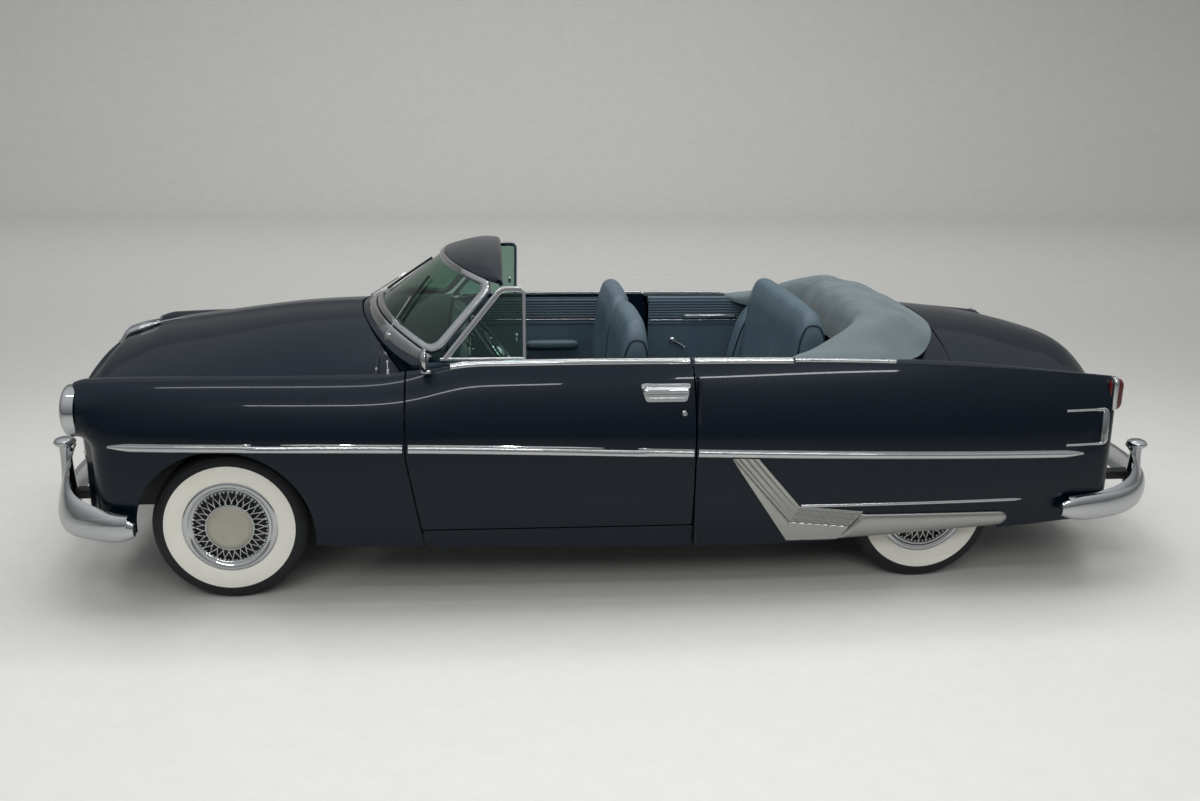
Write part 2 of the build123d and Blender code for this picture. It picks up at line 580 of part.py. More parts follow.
def build_screen():
    """Windscreen glass, its bright frame and the painted header."""
    nodes = {}
    frame = screen_layer(FRAME_FRONT, FRAME_T - FRAME_FRONT, 0, FRAME_REACH) - screen_layer(40, FRAME_T + 60, FRAME_W)
    frame = frame - [Pos(0, 0, SEAT) * crown(COWL_ROWS, 200), hull(-SEAT)]
    nodes["windscreen_frame"] = [frame]
    nodes["windscreen_glass"] = [screen_layer(-8, 8 + GLASS_T, FRAME_W + SEAT)]
    (cx, cy, cz), (mx, _, mz) = SCREEN_HEAD
    front, wide = cx - FRAME_FRONT, cy + 20
    lift = SEAT + HEADER_EASE + FRAME_FRONT * (mz - cz) / sqrt((mx - cx) ** 2 + (mz - cz) ** 2)
    low_z = mz - (mz - cz) * (wide / cy) ** 2 + lift
    edges = [
        ThreePointArc((front, -cy), (mx - FRAME_FRONT, 0), (front, cy)),
        Line((front, cy), (HEADER_REAR_X, wide)),
        Line((HEADER_REAR_X, wide), (HEADER_REAR_X, -wide)),
        Line((HEADER_REAR_X, -wide), (front, -cy)),
    ]
    over = extrude(make_face(edges), 1700)
    outline = [
        ThreePointArc((900, -wide, low_z), (900, 0, mz + lift), (900, wide, low_z)),
        Line((900, wide, low_z), (900, wide, HEADER_EDGE_Z)),
        ThreePointArc((900, wide, HEADER_EDGE_Z), (900, 0, HEADER_TOP_Z), (900, -wide, HEADER_EDGE_Z)),
        Line((900, -wide, HEADER_EDGE_Z), (900, -wide, low_z)),
    ]
    crescent = extrude(Face(Wire(outline)), 400, dir=(1, 0, 0))
    nodes["windscreen_header"] = [over & crescent]
    return nodes


def blade(x_mid, x_end, y_end, wrap, depth, z, sign):
    """Flat outline of a bumper at one height: a bowed bar with its ends wrapped along the car."""
    wx, wy = wrap
    out_x = x_end - sign * abs(x_end - wx) * 0.22
    out = [(x_mid, 0, z), (x_end, y_end, z), (out_x, (wy + y_end) / 2 + 28, z), (wx, wy, z)]
    ins = [(x_mid - sign * depth, 0, z), (x_end - sign * depth, y_end - 20, z),
           (out_x - sign * depth * 0.7, (wy + y_end) / 2 - 6, z), (wx, wy - depth * 0.5, z)]

    def flip(p):
        return (p[0], -p[1], p[2])

    edges = [
        ThreePointArc(flip(out[1]), out[0], out[1]),
        ThreePointArc(out[1], out[2], out[3]),
        Line(out[3], ins[3]),
        ThreePointArc(ins[3], ins[2], ins[1]),
        ThreePointArc(ins[1], ins[0], flip(ins[1])),
        ThreePointArc(flip(ins[1]), flip(ins[2]), flip(ins[3])),
        Line(flip(ins[3]), flip(out[3])),
        ThreePointArc(flip(out[3]), flip(out[2]), flip(out[1])),
    ]
    return Face(Wire(edges))


def build_bumpers():
    """Front and rear bumpers with their upright guards and brackets."""
    nodes = {}
    for name, sign, x_mid, x_end, y_end, wrap, guard_z in (
            ("front_bumper", -1, -846.0, -716.0, 800.0, (-372.0, 968.0), 640.0),
            ("rear_bumper", 1, 4436.0, 4236.0, 760.0, (3752.0, 956.0), 552.0)):
        bar = loft([blade(x_mid - sign * s, x_end - sign * s, y_end - s / 2, (wrap[0], wrap[1] - s), 44, z, sign)
                    for z, s in ((322, 18), (382, 0), (444, 18))])
        end_x = RAIL_LINE[0][0] if sign < 0 else RAIL_LINE[-1][0]
        for s in (-1, 1):
            x = x_mid - sign * 32
            guard = box(x - 44, x + 44, s * 430 - 46, s * 430 + 46, 326, guard_z)
            bar = bar + fillet(guard.edges(), 22)
            bar = bar + box(end_x + sign * SEAT, x_mid - sign * 60, s * BRACKET_Y[0], s * BRACKET_Y[1], *BRACKET_Z)
        nodes[name] = [bar]
    return nodes


def build_underframe():
    """Floor pan with its tunnel, the frame below it, and the frame's tail rails from the foot of its last step."""
    nodes = {}
    floor = slab(band(FLOOR_LINE, SHEET), -WELL_Y + SEAT, WELL_Y - SEAT)
    wide = slab(band(FLOOR_LINE[:4], SHEET), -FLOOR_Y, FLOOR_Y) & box(600, 2640, -900, 900, 0, 1000)
    rear = slab(band(FLOOR_LINE[5:], SHEET), -790, 790)
    floor = (floor + wide + (rear & hull(SKIN + SEAT, 80))) & plan(SKIN + SEAT)
    tunnel = rod((690, 0, TUNNEL_Z), (2590, 0, TUNNEL_Z), TUNNEL_R)
    tunnel = (tunnel + box(690, 2590, -TUNNEL_R, TUNNEL_R, 246, TUNNEL_Z)) & box(600, 2700, -200, 200, 246, 700)
    core_r = TUNNEL_R - SHEET
    core = rod((500, 0, TUNNEL_Z), (2700, 0, TUNNEL_Z), core_r) + box(500, 2700, -core_r, core_r, 150, TUNNEL_Z)
    nodes["floor_pan"] = [(floor + tunnel) - core]

    rails = slab(band(RAIL_LINE, -RAIL_H), RAIL_Y[0], RAIL_Y[1])
    frame = rails + mirror(rails, about=Plane.XZ)
    wide_y = 780
    for x0, x1, z0, z1, half in ((-480, -410, 310, 370, RAIL_Y[1]), (880, 940, 188, 245.7, wide_y),
                                 (1700, 1760, 188, 245.7, wide_y), (2470, 2530, 188, 245.7, wide_y),
                                 (4060, 4120, 360, 420, RAIL_Y[1])):
        frame = frame + box(x0, x1, -half, half, z0, z1)
    frame = frame - rod((500, 0, TUNNEL_Z), (2700, 0, TUNNEL_Z), core_r)
    split_x = RAIL_LINE[-2][0]
    nodes["underframe"] = [frame & box(-1000, split_x, -OUTSIDE_Y, OUTSIDE_Y, 0, 1000)]
    nodes["tail_rails"] = [frame & box(split_x + SEAT, 5000, -OUTSIDE_Y, OUTSIDE_Y, 0, 1000)]
    return nodes


def build_running_gear():
    """Front suspension, knuckles, rear axle with its springs, engine, radiator, exhaust and tank."""
    nodes = {}
    kp = FRONT_TRACK / 2 - KINGPIN_INSET
    beam_top = RAIL_LINE[0][1] - RAIL_H - SEAT
    susp = box(-80, 80, -RAIL_Y[1], RAIL_Y[1], 236, beam_top)
    susp = susp + [box(-60, 60, y - 30, y + 30, 300, 330 - SEAT) for y in (-90, 90)]
    for s in (-1, 1):
        for z, root in ((ARM_LOW_Z, 150), (ARM_HIGH_Z, 100)):
            inner_y = s * (RAIL_Y[1] + 2)
            arm = make_face(Polyline((-root, inner_y), (root, inner_y), (34, s * kp), (-34, s * kp), close=True))
            arm = Pos(0, 0, z - ARM_T / 2) * extrude(arm, ARM_T) + Pos(0, s * kp, z) * Cylinder(34, ARM_T)
            susp = susp + (arm - Pos(0, s * kp, z) * Cylinder(KINGPIN_R + RUN, 2 * ARM_T))
        susp = susp + box(-80, 80, s * (RAIL_Y[1] + SEAT), s * (RAIL_Y[1] + 22), 236, ARM_HIGH_Z)
        susp = susp + box(-80, 80, s * 400, s * (RAIL_Y[1] + 22), 236, beam_top)
    nodes["front_suspension"] = [susp]
    for name, s in (("left", -1), ("right", 1)):
        mid_z = (ARM_LOW_Z + ARM_HIGH_Z) / 2
        pin = Pos(0, s * kp, mid_z) * Cylinder(KINGPIN_R, ARM_HIGH_Z - ARM_LOW_Z + ARM_T)
        block = Pos(0, s * kp, mid_z) * Cylinder(28, ARM_HIGH_Z - ARM_LOW_Z - ARM_T - 2 * SEAT)
        spindle = rod((0, s * kp, AXLE_Z), (0, s * (FRONT_TRACK / 2 + 44), AXLE_Z), SPINDLE_R)
        nodes["knuckle_" + name] = [pin + block + spindle]

    ry = REAR_TRACK / 2
    axle = across(WHEELBASE, AXLE_Z, 38, -ry + 60, ry - 60) + across(WHEELBASE, AXLE_Z, SPINDLE_R, -ry - 44, ry + 44)
    axle = axle + Pos(WHEELBASE, 0, AXLE_Z) * Sphere(120)
    axle = axle + rod((1052, 0, 300), (WHEELBASE, 0, AXLE_Z), 34)
    for s in (-1, 1):
        y = s * 490
        leaf = ThreePointArc((2700, AXLE_Z + 62), (WHEELBASE, AXLE_Z - 62), (3620, AXLE_Z + 62))
        low = ThreePointArc((3620, AXLE_Z + 34), (WHEELBASE, AXLE_Z - 90), (2700, AXLE_Z + 34))
        face = make_face([leaf, Line(leaf @ 1, low @ 0), low, Line(low @ 1, leaf @ 0)])
        axle = axle + Pos(0, y + 30, 0) * extrude(Plane.XZ * face, 60)
        axle = axle + box(WHEELBASE - 40, WHEELBASE + 40, y - 34, y + 34, AXLE_Z - 96, AXLE_Z - 20)
        for x, top in ((2716, 560 - SEAT), (3604, 420 - SEAT)):
            axle = axle + box(x - 16, x + 16, y - 30, y + 30, AXLE_Z + 40, top)
    nodes["rear_axle"] = [axle]

    block = box(-300, 470, -120, 120, 330, 720) + box(-280, 450, -90, 90, 720, 900)
    gearbox = rod((470, 0, 300), (1050, 0, 300), 80) + rod((-330, 0, 470), (-300, 0, 470), 150)
    nodes["engine"] = [block + box(440, 500, -140, 140, 220, 620) + gearbox]
    nodes["radiator"] = [box(-478, -412, -330, 330, 370 + SEAT, 850)]
    route = [(380, -120 - SEAT, 430), (380, -240, 430), (560, -250, 140), (2550, -250, 140), (2770, -250, 450),
             (3400, -250, 450), (3560, -250, 220), (4290, -250, 220)]
    path = FilletPolyline(*route, radius=60)
    pipe = sweep(Plane(origin=path @ 0, z_dir=path % 0) * Circle(24), path=path)
    nodes["exhaust"] = [pipe + rod((1790, -250, 146), (2440, -250, 146), 46)]
    nodes["fuel_tank"] = [box(3640, 4040, -200, 350, 250, 420 - SEAT)]
    return nodes


def build_wheels():
    """Tyre, and wheel with its wire cover, at each corner."""
    nodes = {}
    h = TYRE_W / 2
    tyre_half = [(TYRE_R, 0), (TYRE_R - 3, h - 30), (TYRE_R - 16, h - 10), (TYRE_R - 50, h), (TYRE_R - 92, h - 4),
                 (BEAD_R + 14 + SEAT, h - 18), (BEAD_R + 14 + SEAT, RIM_W / 2 - RIM_WALL - SEAT),
                 (BEAD_R + SEAT, RIM_W / 2 - RIM_WALL - SEAT)]
    tyre = tyre_half + [(r, -y) for r, y in reversed(tyre_half[1:])]
    w, t = RIM_W / 2, RIM_WALL
    rim = [(BEAD_R + 14, w), (BEAD_R + 14, w - t), (BEAD_R, w - t), (BEAD_R - 4, -w + t), (BEAD_R + 14, -w + t),
           (BEAD_R + 14, -w), (BEAD_R - 8, -w), (BEAD_R - 14, 0), (BEAD_R - 14, w - 18), (BEAD_R - 30, w - 18),
           (BEAD_R - 30, w)]
    wheel = ring_of(rim)
    wheel = wheel + ring_of([(DRUM_R, -36), (DRUM_R, 10), (SPINDLE_R + RUN, 10), (SPINDLE_R + RUN, -36)])
    wheel = wheel + ring_of([(BEAD_R - 6, 4), (BEAD_R - 6, 12), (60, 12), (60, 4)])
    cover = ring_of([(BEAD_R - 10, w - 6), (BEAD_R - 4, w + 4), (SPOKE_OUTER_R + 14, w + 10), (SPOKE_OUTER_R, w - 2),
                     (SPOKE_OUTER_R, w - 10)])
    cap = ring_of([(CAP_R, w - 14), (CAP_R, w + 2), (CAP_R - 14, w + 10), (48, w + 16), (44, w + 26), (0, w + 30),
                   (0, w - 14)])
    post = rod((0, 48, 0), (0, w - 12, 0), 40) + rod((0, 8, 0), (0, 49, 0), 60)
    post = post - rod((0, -60, 0), (0, 48, 0), SPINDLE_R + RUN)
    spokes = [Rot(0, 360 / SPOKE_COUNT * i, 0) * box(CAP_R - 8, SPOKE_OUTER_R + 6, w - 10, w - 4, -2.5, 2.5)
              for i in range(SPOKE_COUNT)]
    wheel = wheel + cover + cap + post + spokes
    for name, x, track, s in (("fl", 0, FRONT_TRACK, -1), ("fr", 0, FRONT_TRACK, 1),
                              ("rl", WHEELBASE, REAR_TRACK, -1), ("rr", WHEELBASE, REAR_TRACK, 1)):
        place = Pos(x, s * track / 2, AXLE_Z) * (Rot(0, 0, 0) if s > 0 else Rot(0, 0, 180))
        nodes["tyre_" + name] = [place * ring_of(tyre)]
        nodes["wheel_" + name] = [place * wheel]
    return nodes


def build_cabin():
    """Seats, side trims, dashboard, steering column and wheel, and the folded top's cover."""
    nodes = {}
    cushion = [(1290, 330), (1310, 300), (1780, 300), (1800, 560), (1700, 590), (1330, 600), (1290, 560)]
    back = [(1700, 590 + SEAT), (1800, 560 + SEAT), (1870, 1140), (1845, 1200), (1790, 1205), (1755, 1160)]
    hump_r = TUNNEL_R + 2
    hump = rod((1000, 0, TUNNEL_Z), (2900, 0, TUNNEL_Z), hump_r) + box(1000, 2900, -hump_r, hump_r, 200, TUNNEL_Z)
    nodes["front_seat"] = [slab(cushion, -SEAT_HALF, SEAT_HALF) - hump, slab(back, SEAT, SEAT_HALF),
                           slab(back, -SEAT_HALF, -SEAT)]
    nodes["seat_runners"] = [box(1400, 1700, y - 30, y + 30, 258 + SEAT, 300 - SEAT) for y in (-500, 500)]
    cushion = [(2100, 330), (2120, 258 + SEAT), (2550, 258 + SEAT), (2626, 572), (2610, 600), (2140, 600), (2100, 560)]
    back = [(2520, 600 + SEAT), (2630, 600 + SEAT), (2645, 574), (2780, 574), (2700, 1190), (2670, 1225), (2620, 1225), (2590, 1180)]
    nodes["rear_seat"] = [slab(cushion, -680, 680) - hump, slab(back, -560, 560)]
    trim = slab([(2048, 258 + SEAT), (2556, 258 + SEAT), (2634, 572 + SEAT), (2780, 572 + SEAT), (2780, 1030),
                 (2048, 1030)], 746, 766)
    nodes["rear_side_trims"] = twin(trim)
    dash = slab([(COWL_REAR_X + SEAT, 930), (1010, 930), (1046, 960), (1052, 1080), (1020, 1120),
                 (COWL_REAR_X + SEAT, 1150)], -760, 760)
    nodes["dashboard"] = [dash & crown([(900, 786, 1072, 1184), (1100, 786, 1072, 1170)], 500)]

    hx, hy, hz = STEER_HUB
    t = radians(COLUMN_TILT)
    reach = (hx - BAY_REAR_X - 16 - SEAT - COLUMN_R * sin(t)) / cos(t)

    def along(d):
        return (hx - d * cos(t), hy, hz - d * sin(t))

    nodes["steering_column"] = [rod(along(reach), along(40), COLUMN_R) + rod(along(50), along(10), STEER_SHAFT_R)]
    wheel = Torus(WHEEL_RIM_R, 10) + Pos(0, 0, -6) * Cylinder(46, 30) + Torus(120, 4)
    wheel = wheel + [Rot(0, 0, a) * Pos(WHEEL_RIM_R / 2, 0, -4) * Box(WHEEL_RIM_R - 10, 14, 9) for a in (80, 200, 320)]
    wheel = wheel - Pos(0, 0, -25) * Cylinder(STEER_SHAFT_R + RUN, 40)
    nodes["steering_wheel"] = [Pos(hx, hy, hz) * Rot(0, 90 - COLUMN_TILT, 0) * wheel]

    cover = slab([(2860, 1082), (3226, 1082), (3226, 1130), (3160, 1210), (3020, 1246), (2920, 1240), (2866, 1180)],
                 -700, 700)
    cover = fillet(cover.edges().filter_by(Axis.Y), 16)
    cover = cover + twin(box(2490, 3060, 640, 800, 1060, 1112))
    cover = cover - Pos(-SEAT, 0, SEAT) * crown(TONNEAU_ROWS, 400) - hull(-SEAT)
    nodes["top_boot"] = [cover]
    return nodes


def build_lamps():
    """Headlamps, tail lamps and the grille."""
    nodes = {}
    rim = ring_of([(LENS_R, -14), (LAMP_RIM_R, -14), (LAMP_RIM_R, 0), (LAMP_RIM_R - 8, 14), (LENS_R, 18)])
    lens = ring_of([(0, -10), (LENS_R - SEAT, -10), (LENS_R - SEAT, 10), (60, 20), (30, 25), (0, 26)])
    place = Pos(-636, HEADLAMP_Y, HEADLAMP_Z) * Rot(0, 0, 90)
    skin = hull(-SEAT) & plan(-SEAT)
    nodes["headlamp_rims"] = twin((place * rim) - skin)
    nodes["headlamp_lenses"] = twin(place * lens)
    lamp = box(3985, 4034, TAIL_LAMP_Y - 26, TAIL_LAMP_Y + 26, *TAIL_LAMP_Z)
    lamp = fillet(lamp.edges().filter_by(Axis.X), 20) - skin
    nodes["tail_lamps"] = twin(lamp)
    half = GRILLE_HALF - SEAT
    bars = [box(-690, -600, -half, half, z, z + 26) for z in (610, 680, 750)]
    posts = [box(-680, -620, y - 9, y + 9, 600, 790) for y in range(-540, 541, 120)]
    nodes["grille"] = [(bars[0] + bars[1:] + posts) & (plan(-14) - plan(40))]
    return nodes


def build_brightwork():
    """Bright strips and shields on the fixed panels."""
    nodes = {}
    frame = on_side([(3743, 680), (3950, 680), (3961, 847), (3743, 847)], 8)
    parts = [
        on_side(mould_strip(-461, DOOR_FRONT_X - SHUT - MOULD_GAP), 9),
        on_side(mould_strip(DOOR_REAR_X + SHUT + 6, 3840), 9),
        on_side([(2511, 430), (3560, 428 + SEAT), (3560, 442), (2511, 448)], 7),
        frame - slab([(3700, 712), (3930, 712), (3936, 815), (3700, 815)], 700, 1100),
    ]
    nodes["side_brightwork"] = [shape for part in parts for shape in twin(part)]
    shield = on_side([(2187, 674), (2316, 660), (2505, 446), (2505, 424), (2700, 416), (2780, 400), (2780, 268),
                      (2468, 262)], 8)
    nodes["stone_shields"] = twin(shield)
    return nodes


def main():
    """Build every node, centre the car and write one file a node."""
    os.makedirs("parts", exist_ok=True)
    nodes = {}
    for build in (build_front, build_rear, build_doors, build_door_trim, build_screen, build_bumpers, build_underframe,
                  build_running_gear, build_wheels, build_cabin, build_lamps, build_brightwork):
        nodes.update(build())
    for name, shapes in nodes.items():
        solids = [Pos(-BOX_CENTRE_X, 0, 0) * solid for shape in shapes for solid in shape.solids()]
        export_step(Compound(children=solids), "parts/" + name + ".step")


main()
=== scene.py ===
"""A four-seat convertible of the 1950s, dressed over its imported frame.

All lengths are in metres unless a name says mm.
"""
import json
import logging
from collections.abc import Callable, Sequence
from dataclasses import dataclass, field
from enum import Enum
from math import cos, pi, radians, sin, sqrt

import bpy
import numpy as np
from mathutils import Matrix


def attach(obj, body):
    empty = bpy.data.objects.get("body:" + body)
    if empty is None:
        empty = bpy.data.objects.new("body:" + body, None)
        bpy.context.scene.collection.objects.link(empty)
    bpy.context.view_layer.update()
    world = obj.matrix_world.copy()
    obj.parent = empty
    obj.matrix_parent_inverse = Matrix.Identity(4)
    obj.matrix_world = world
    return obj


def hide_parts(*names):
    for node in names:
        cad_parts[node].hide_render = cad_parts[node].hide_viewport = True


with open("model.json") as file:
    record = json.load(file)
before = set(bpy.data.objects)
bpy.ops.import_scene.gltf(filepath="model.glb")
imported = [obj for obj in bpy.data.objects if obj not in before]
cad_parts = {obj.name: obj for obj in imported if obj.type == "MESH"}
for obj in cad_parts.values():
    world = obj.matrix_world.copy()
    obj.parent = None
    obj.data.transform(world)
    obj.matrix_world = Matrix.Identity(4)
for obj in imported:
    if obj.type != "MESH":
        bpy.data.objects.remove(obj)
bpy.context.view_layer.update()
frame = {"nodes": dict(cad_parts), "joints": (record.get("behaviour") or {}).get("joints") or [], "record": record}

Array = np.ndarray
Place = Sequence[float]
Rows = Sequence[Place]
log = logging.getLogger("convertible")

MM = 0.001
WHEEL_JOINT = next(j for j in frame["joints"] if j["name"] == "wheel_fl_spin")
AXLE_X = WHEEL_JOINT["pos_m"][0]
AXLE_Z = WHEEL_JOINT["pos_m"][2]
REAR_AXLE_X = next(j for j in frame["joints"] if j["name"] == "wheel_rl_spin")["pos_m"][0]
WELD = 2e-5


def from_axle(points: Rows) -> Array:
    """Points in millimetres from the front axle, as metres in the frame.

    Args:
        points: Rows of x, y, z.

    Returns:
        The same rows in the frame.
    """
    return np.asarray(points, float) * MM + np.array([AXLE_X, 0.0, 0.0])


def join(*values: float | Array) -> Array:
    """Values side by side along a new last axis, each stretched to the shape that all of them share."""
    return np.stack(np.broadcast_arrays(*values), axis=-1)


def linear(code: str) -> tuple[float, float, float, float]:
    """Turns an sRGB hex colour into linear light.

    Args:
        code: Six hex digits after a hash sign.

    Returns:
        Red, green, blue and full alpha.
    """
    parts = np.array([int(code[i:i + 2], 16) for i in (1, 3, 5)]) / 255
    light = np.where(parts <= 0.04045, parts / 12.92, ((parts + 0.055) / 1.055) ** 2.4)
    return (*light.tolist(), 1.0)


def add_node(tree: bpy.types.NodeTree, kind: str, values: dict | None = None,
             **links: bpy.types.NodeSocket) -> bpy.types.Node:
    """Adds a node with its settings and links.

    Args:
        tree: The material's node tree.
        kind: Blender's name of the node.
        values: Settings by attribute name, or input values by socket name or number.
        **links: Output sockets, each by the input's name with underscores for spaces, or by inN for input
            number N.

    Returns:
        The new node.
    """
    made = tree.nodes.new(kind)
    for name, value in (values or {}).items():
        if isinstance(name, str) and hasattr(made, name):
            setattr(made, name, value)
        else:
            made.inputs[name].default_value = value
    for name, socket in links.items():
        numbered = name[:2] == "in" and name[2:].isdigit()
        tree.links.new(socket, made.inputs[int(name[2:]) if numbered else name.replace("_", " ")])
    return made


class Grain(Enum):
    """How a surface was made, which sets its pattern."""

    FLAKE = "metal flake under a clear coat"
    POLISHED = "polished plating"
    BRUSHED = "brushed metal"
    HIDE = "grained hide"
    WOVEN = "woven or coated cloth"
    MOULDED = "moulded rubber or plastic"
    CAST = "sand cast metal"
    CLEAR = "clear pressed glass"


@dataclass(frozen=True)
class Finish:
    """One real surface: what it is made of, and how it looks."""

    name: str
    colour: str
    second: str
    grain: Grain
    rough: float = 0.5
    metallic: float = 0.0
    pattern_mm: float = 2.0
    bump_mm: float = 0.1
    coat: float = 0.0
    sheen: float = 0.0
    clear: float = 0.0
    ior: float = 1.5
    shine: float = 0.5

    def build(self) -> bpy.types.Material:
        """Makes the material once, with its colour, roughness and bump patterns, and gives it back
        later."""
        made = bpy.data.materials.get(self.name)
        if made:
            return made
        made = bpy.data.materials.new(self.name)
        made.use_nodes = True
        tree = made.node_tree
        tree.nodes.clear()
        values = {"Metallic": self.metallic, "Coat Weight": self.coat, "Coat Roughness": 0.03,
                  "Sheen Weight": self.sheen, "Transmission Weight": self.clear}
        shader = add_node(tree, "ShaderNodeBsdfPrincipled", values)
        if self.metallic < 1.0:
            shader.inputs["IOR"].default_value = self.ior
            shader.inputs["Specular IOR Level"].default_value = self.shine
        if self.sheen:
            shader.inputs["Sheen Roughness"].default_value = 0.4
        add_node(tree, "ShaderNodeOutputMaterial", Surface=shader.outputs[0])
        place = add_node(tree, "ShaderNodeTexCoord").outputs["Object"]
        if self.grain is Grain.BRUSHED:
            place = add_node(tree, "ShaderNodeMapping", {"Scale": (0.05, 1.0, 1.0)},
                             Vector=place).outputs[0]
        fine = self.pattern(tree, place)
        broad = add_node(tree, "ShaderNodeTexNoise", {"Scale": 6.0, "Detail": 3.0}, Vector=place).outputs[0]
        pair = {"data_type": "RGBA", 6: linear(self.colour), 7: linear(self.second)}
        tones = add_node(tree, "ShaderNodeMix", pair, in0=self.mixer(tree, fine, broad))
        tree.links.new(tones.outputs[2], shader.inputs["Base Color"])
        spread = self.rough * (0.12 if self.grain in (Grain.CLEAR, Grain.FLAKE) else 0.5)
        low, high = self.rough - 0.4 * spread, self.rough + 0.6 * spread
        ends = {"From Min": 0.3, "From Max": 0.7, "To Min": low, "To Max": high}
        rough = add_node(tree, "ShaderNodeMapRange", ends, Value=broad)
        tree.links.new(rough.outputs[0], shader.inputs["Roughness"])
        if self.bump_mm:
            bump = add_node(tree, "ShaderNodeBump", {"Strength": 1.0, "Distance": self.bump_mm * MM},
                            Height=fine)
            tree.links.new(bump.outputs[0], shader.inputs["Normal"])
        return made

    def pattern(self, tree: bpy.types.NodeTree, place: bpy.types.NodeSocket) -> bpy.types.NodeSocket:
        """The fine pattern, between 0 and 1, at its real size.

        Args:
            tree: The material's node tree.
            place: The object's coordinates in metres.

        Returns:
            The pattern's socket.
        """
        scale = 1.0 / (self.pattern_mm * MM)
        if self.grain in (Grain.HIDE, Grain.CAST):
            cells = add_node(tree, "ShaderNodeTexVoronoi", {"Scale": scale, "feature": "SMOOTH_F1"},
                             Vector=place)
            return cells.outputs["Distance"]
        if self.grain is Grain.WOVEN:
            wave = {"Scale": scale / 6.3, "Distortion": 0.6, "Detail": 1.0}
            across = add_node(tree, "ShaderNodeTexWave", {**wave, "bands_direction": "X"},
                              Vector=place).outputs[0]
            along = add_node(tree, "ShaderNodeTexWave", {**wave, "bands_direction": "Y"},
                             Vector=place).outputs[0]
            return add_node(tree, "ShaderNodeMath", {"operation": "MAXIMUM"}, in0=across,
                            in1=along).outputs[0]
        detail = 4.0 if self.grain is Grain.BRUSHED else 2.0
        return add_node(tree, "ShaderNodeTexNoise", {"Scale": scale, "Detail": detail},
                        Vector=place).outputs[0]

    def mixer(self, tree: bpy.types.NodeTree, fine: bpy.types.NodeSocket,
              broad: bpy.types.NodeSocket) -> bpy.types.NodeSocket:
        """How much of the second colour shows: the fine pattern and the broad one together.

        Args:
            tree: The material's node tree.
            fine: The fine pattern's socket.
            broad: The broad pattern's socket.

        Returns:
            A socket between 0 and 1.
        """
        if self.grain is Grain.FLAKE:
            return add_node(tree, "ShaderNodeMapRange", {"From Min": 0.45, "From Max": 0.75},
                            Value=fine).outputs[0]
        both = add_node(tree, "ShaderNodeMath", {"operation": "MULTIPLY_ADD", 1: 0.6}, in0=fine, in2=broad)
        return add_node(tree, "ShaderNodeMapRange", {"From Min": 0.4, "From Max": 1.1},
                        Value=both.outputs[0]).outputs[0]


# Enamel with fine metal flake under a clear gloss: nearly black, with a blue glow where light falls on it
ENAMEL = Finish("midnight_blue_flake_enamel", "#03080f", "#092439", Grain.FLAKE, rough=0.30, metallic=0.25,
                pattern_mm=0.7, bump_mm=0.0, coat=0.42, shine=0.2)
# Chromium plate: a hard mirror
CHROME = Finish("chromium_plate", "#e3e4e4", "#d5d8da", Grain.POLISHED, rough=0.05, metallic=1.0,
                pattern_mm=30, bump_mm=0.0)
# Stainless steel with a satin brush: broad soft highlights
SATIN = Finish("satin_stainless_steel", "#cccdc7", "#b9bab5", Grain.BRUSHED, rough=0.32, metallic=1.0,
               pattern_mm=1.2, bump_mm=0.02)
# Cast bare alloy of the wheel caps: warm and dull
ALLOY = Finish("sand_blasted_alloy", "#c2beb2", "#b0aca0", Grain.CAST, rough=0.5, metallic=0.45,
               pattern_mm=0.9, bump_mm=0.03)
# Blue-grey hide, worn soft: low sheen, fine pebble
HIDE = Finish("blue_grey_hide", "#3b4c56", "#465761", Grain.HIDE, rough=0.42, pattern_mm=1.6, bump_mm=0.12,
              coat=0.12)
# The darker hide of the piping: thin dark lines round the cushions' ends
HIDE_DARK = Finish("dark_blue_hide", "#141f29", "#1c2831", Grain.HIDE, rough=0.45, pattern_mm=1.4,
                   bump_mm=0.1, coat=0.1)
# Leathercloth of the door cards, a little lighter and flatter than the seats
CARD = Finish("blue_grey_leathercloth", "#384853", "#42525c", Grain.HIDE, rough=0.5, pattern_mm=1.2,
              bump_mm=0.07)
# Coated cloth of the folded top's cover: matt, softly creased
BOOT = Finish("blue_grey_coated_cloth", "#485457", "#566265", Grain.WOVEN, rough=0.62, pattern_mm=1.5,
              bump_mm=0.08, sheen=0.15)
# Green-tinted plate glass: clear, a little green at a slant
GLASS = Finish("green_tinted_glass", "#a9cdbf", "#a4c9ba", Grain.CLEAR, rough=0.01, bump_mm=0.0, clear=1.0,
               ior=1.46)
# Clear pressed glass of the headlamps: bright, with a sharp highlight
LAMP = Finish("clear_lamp_glass", "#f2f5f5", "#e9eeee", Grain.CLEAR, rough=0.04, bump_mm=0.0, clear=1.0,
              ior=1.46)
# Moulded red acrylic: deep red under a gloss
RED_LENS = Finish("red_acrylic_lens", "#4a0d07", "#5c130c", Grain.MOULDED, rough=0.12, pattern_mm=8,
                  bump_mm=0.0, coat=0.6, clear=0.25, ior=1.49)
# Sidewall and tread rubber: near black, matt
RUBBER = Finish("black_tyre_rubber", "#17181a", "#222427", Grain.MOULDED, rough=0.6, pattern_mm=3,
                bump_mm=0.05)
# White sidewall band: clean and matt
WHITEWALL = Finish("white_sidewall_rubber", "#e9e7de", "#dedcd2", Grain.MOULDED, rough=0.5, pattern_mm=4,
                   bump_mm=0.03)
# Black extruded weatherstrip: dull, the darkest lines
SEAL = Finish("black_weatherstrip_rubber", "#111315", "#1a1c1e", Grain.MOULDED, rough=0.75, pattern_mm=2,
              bump_mm=0.05)
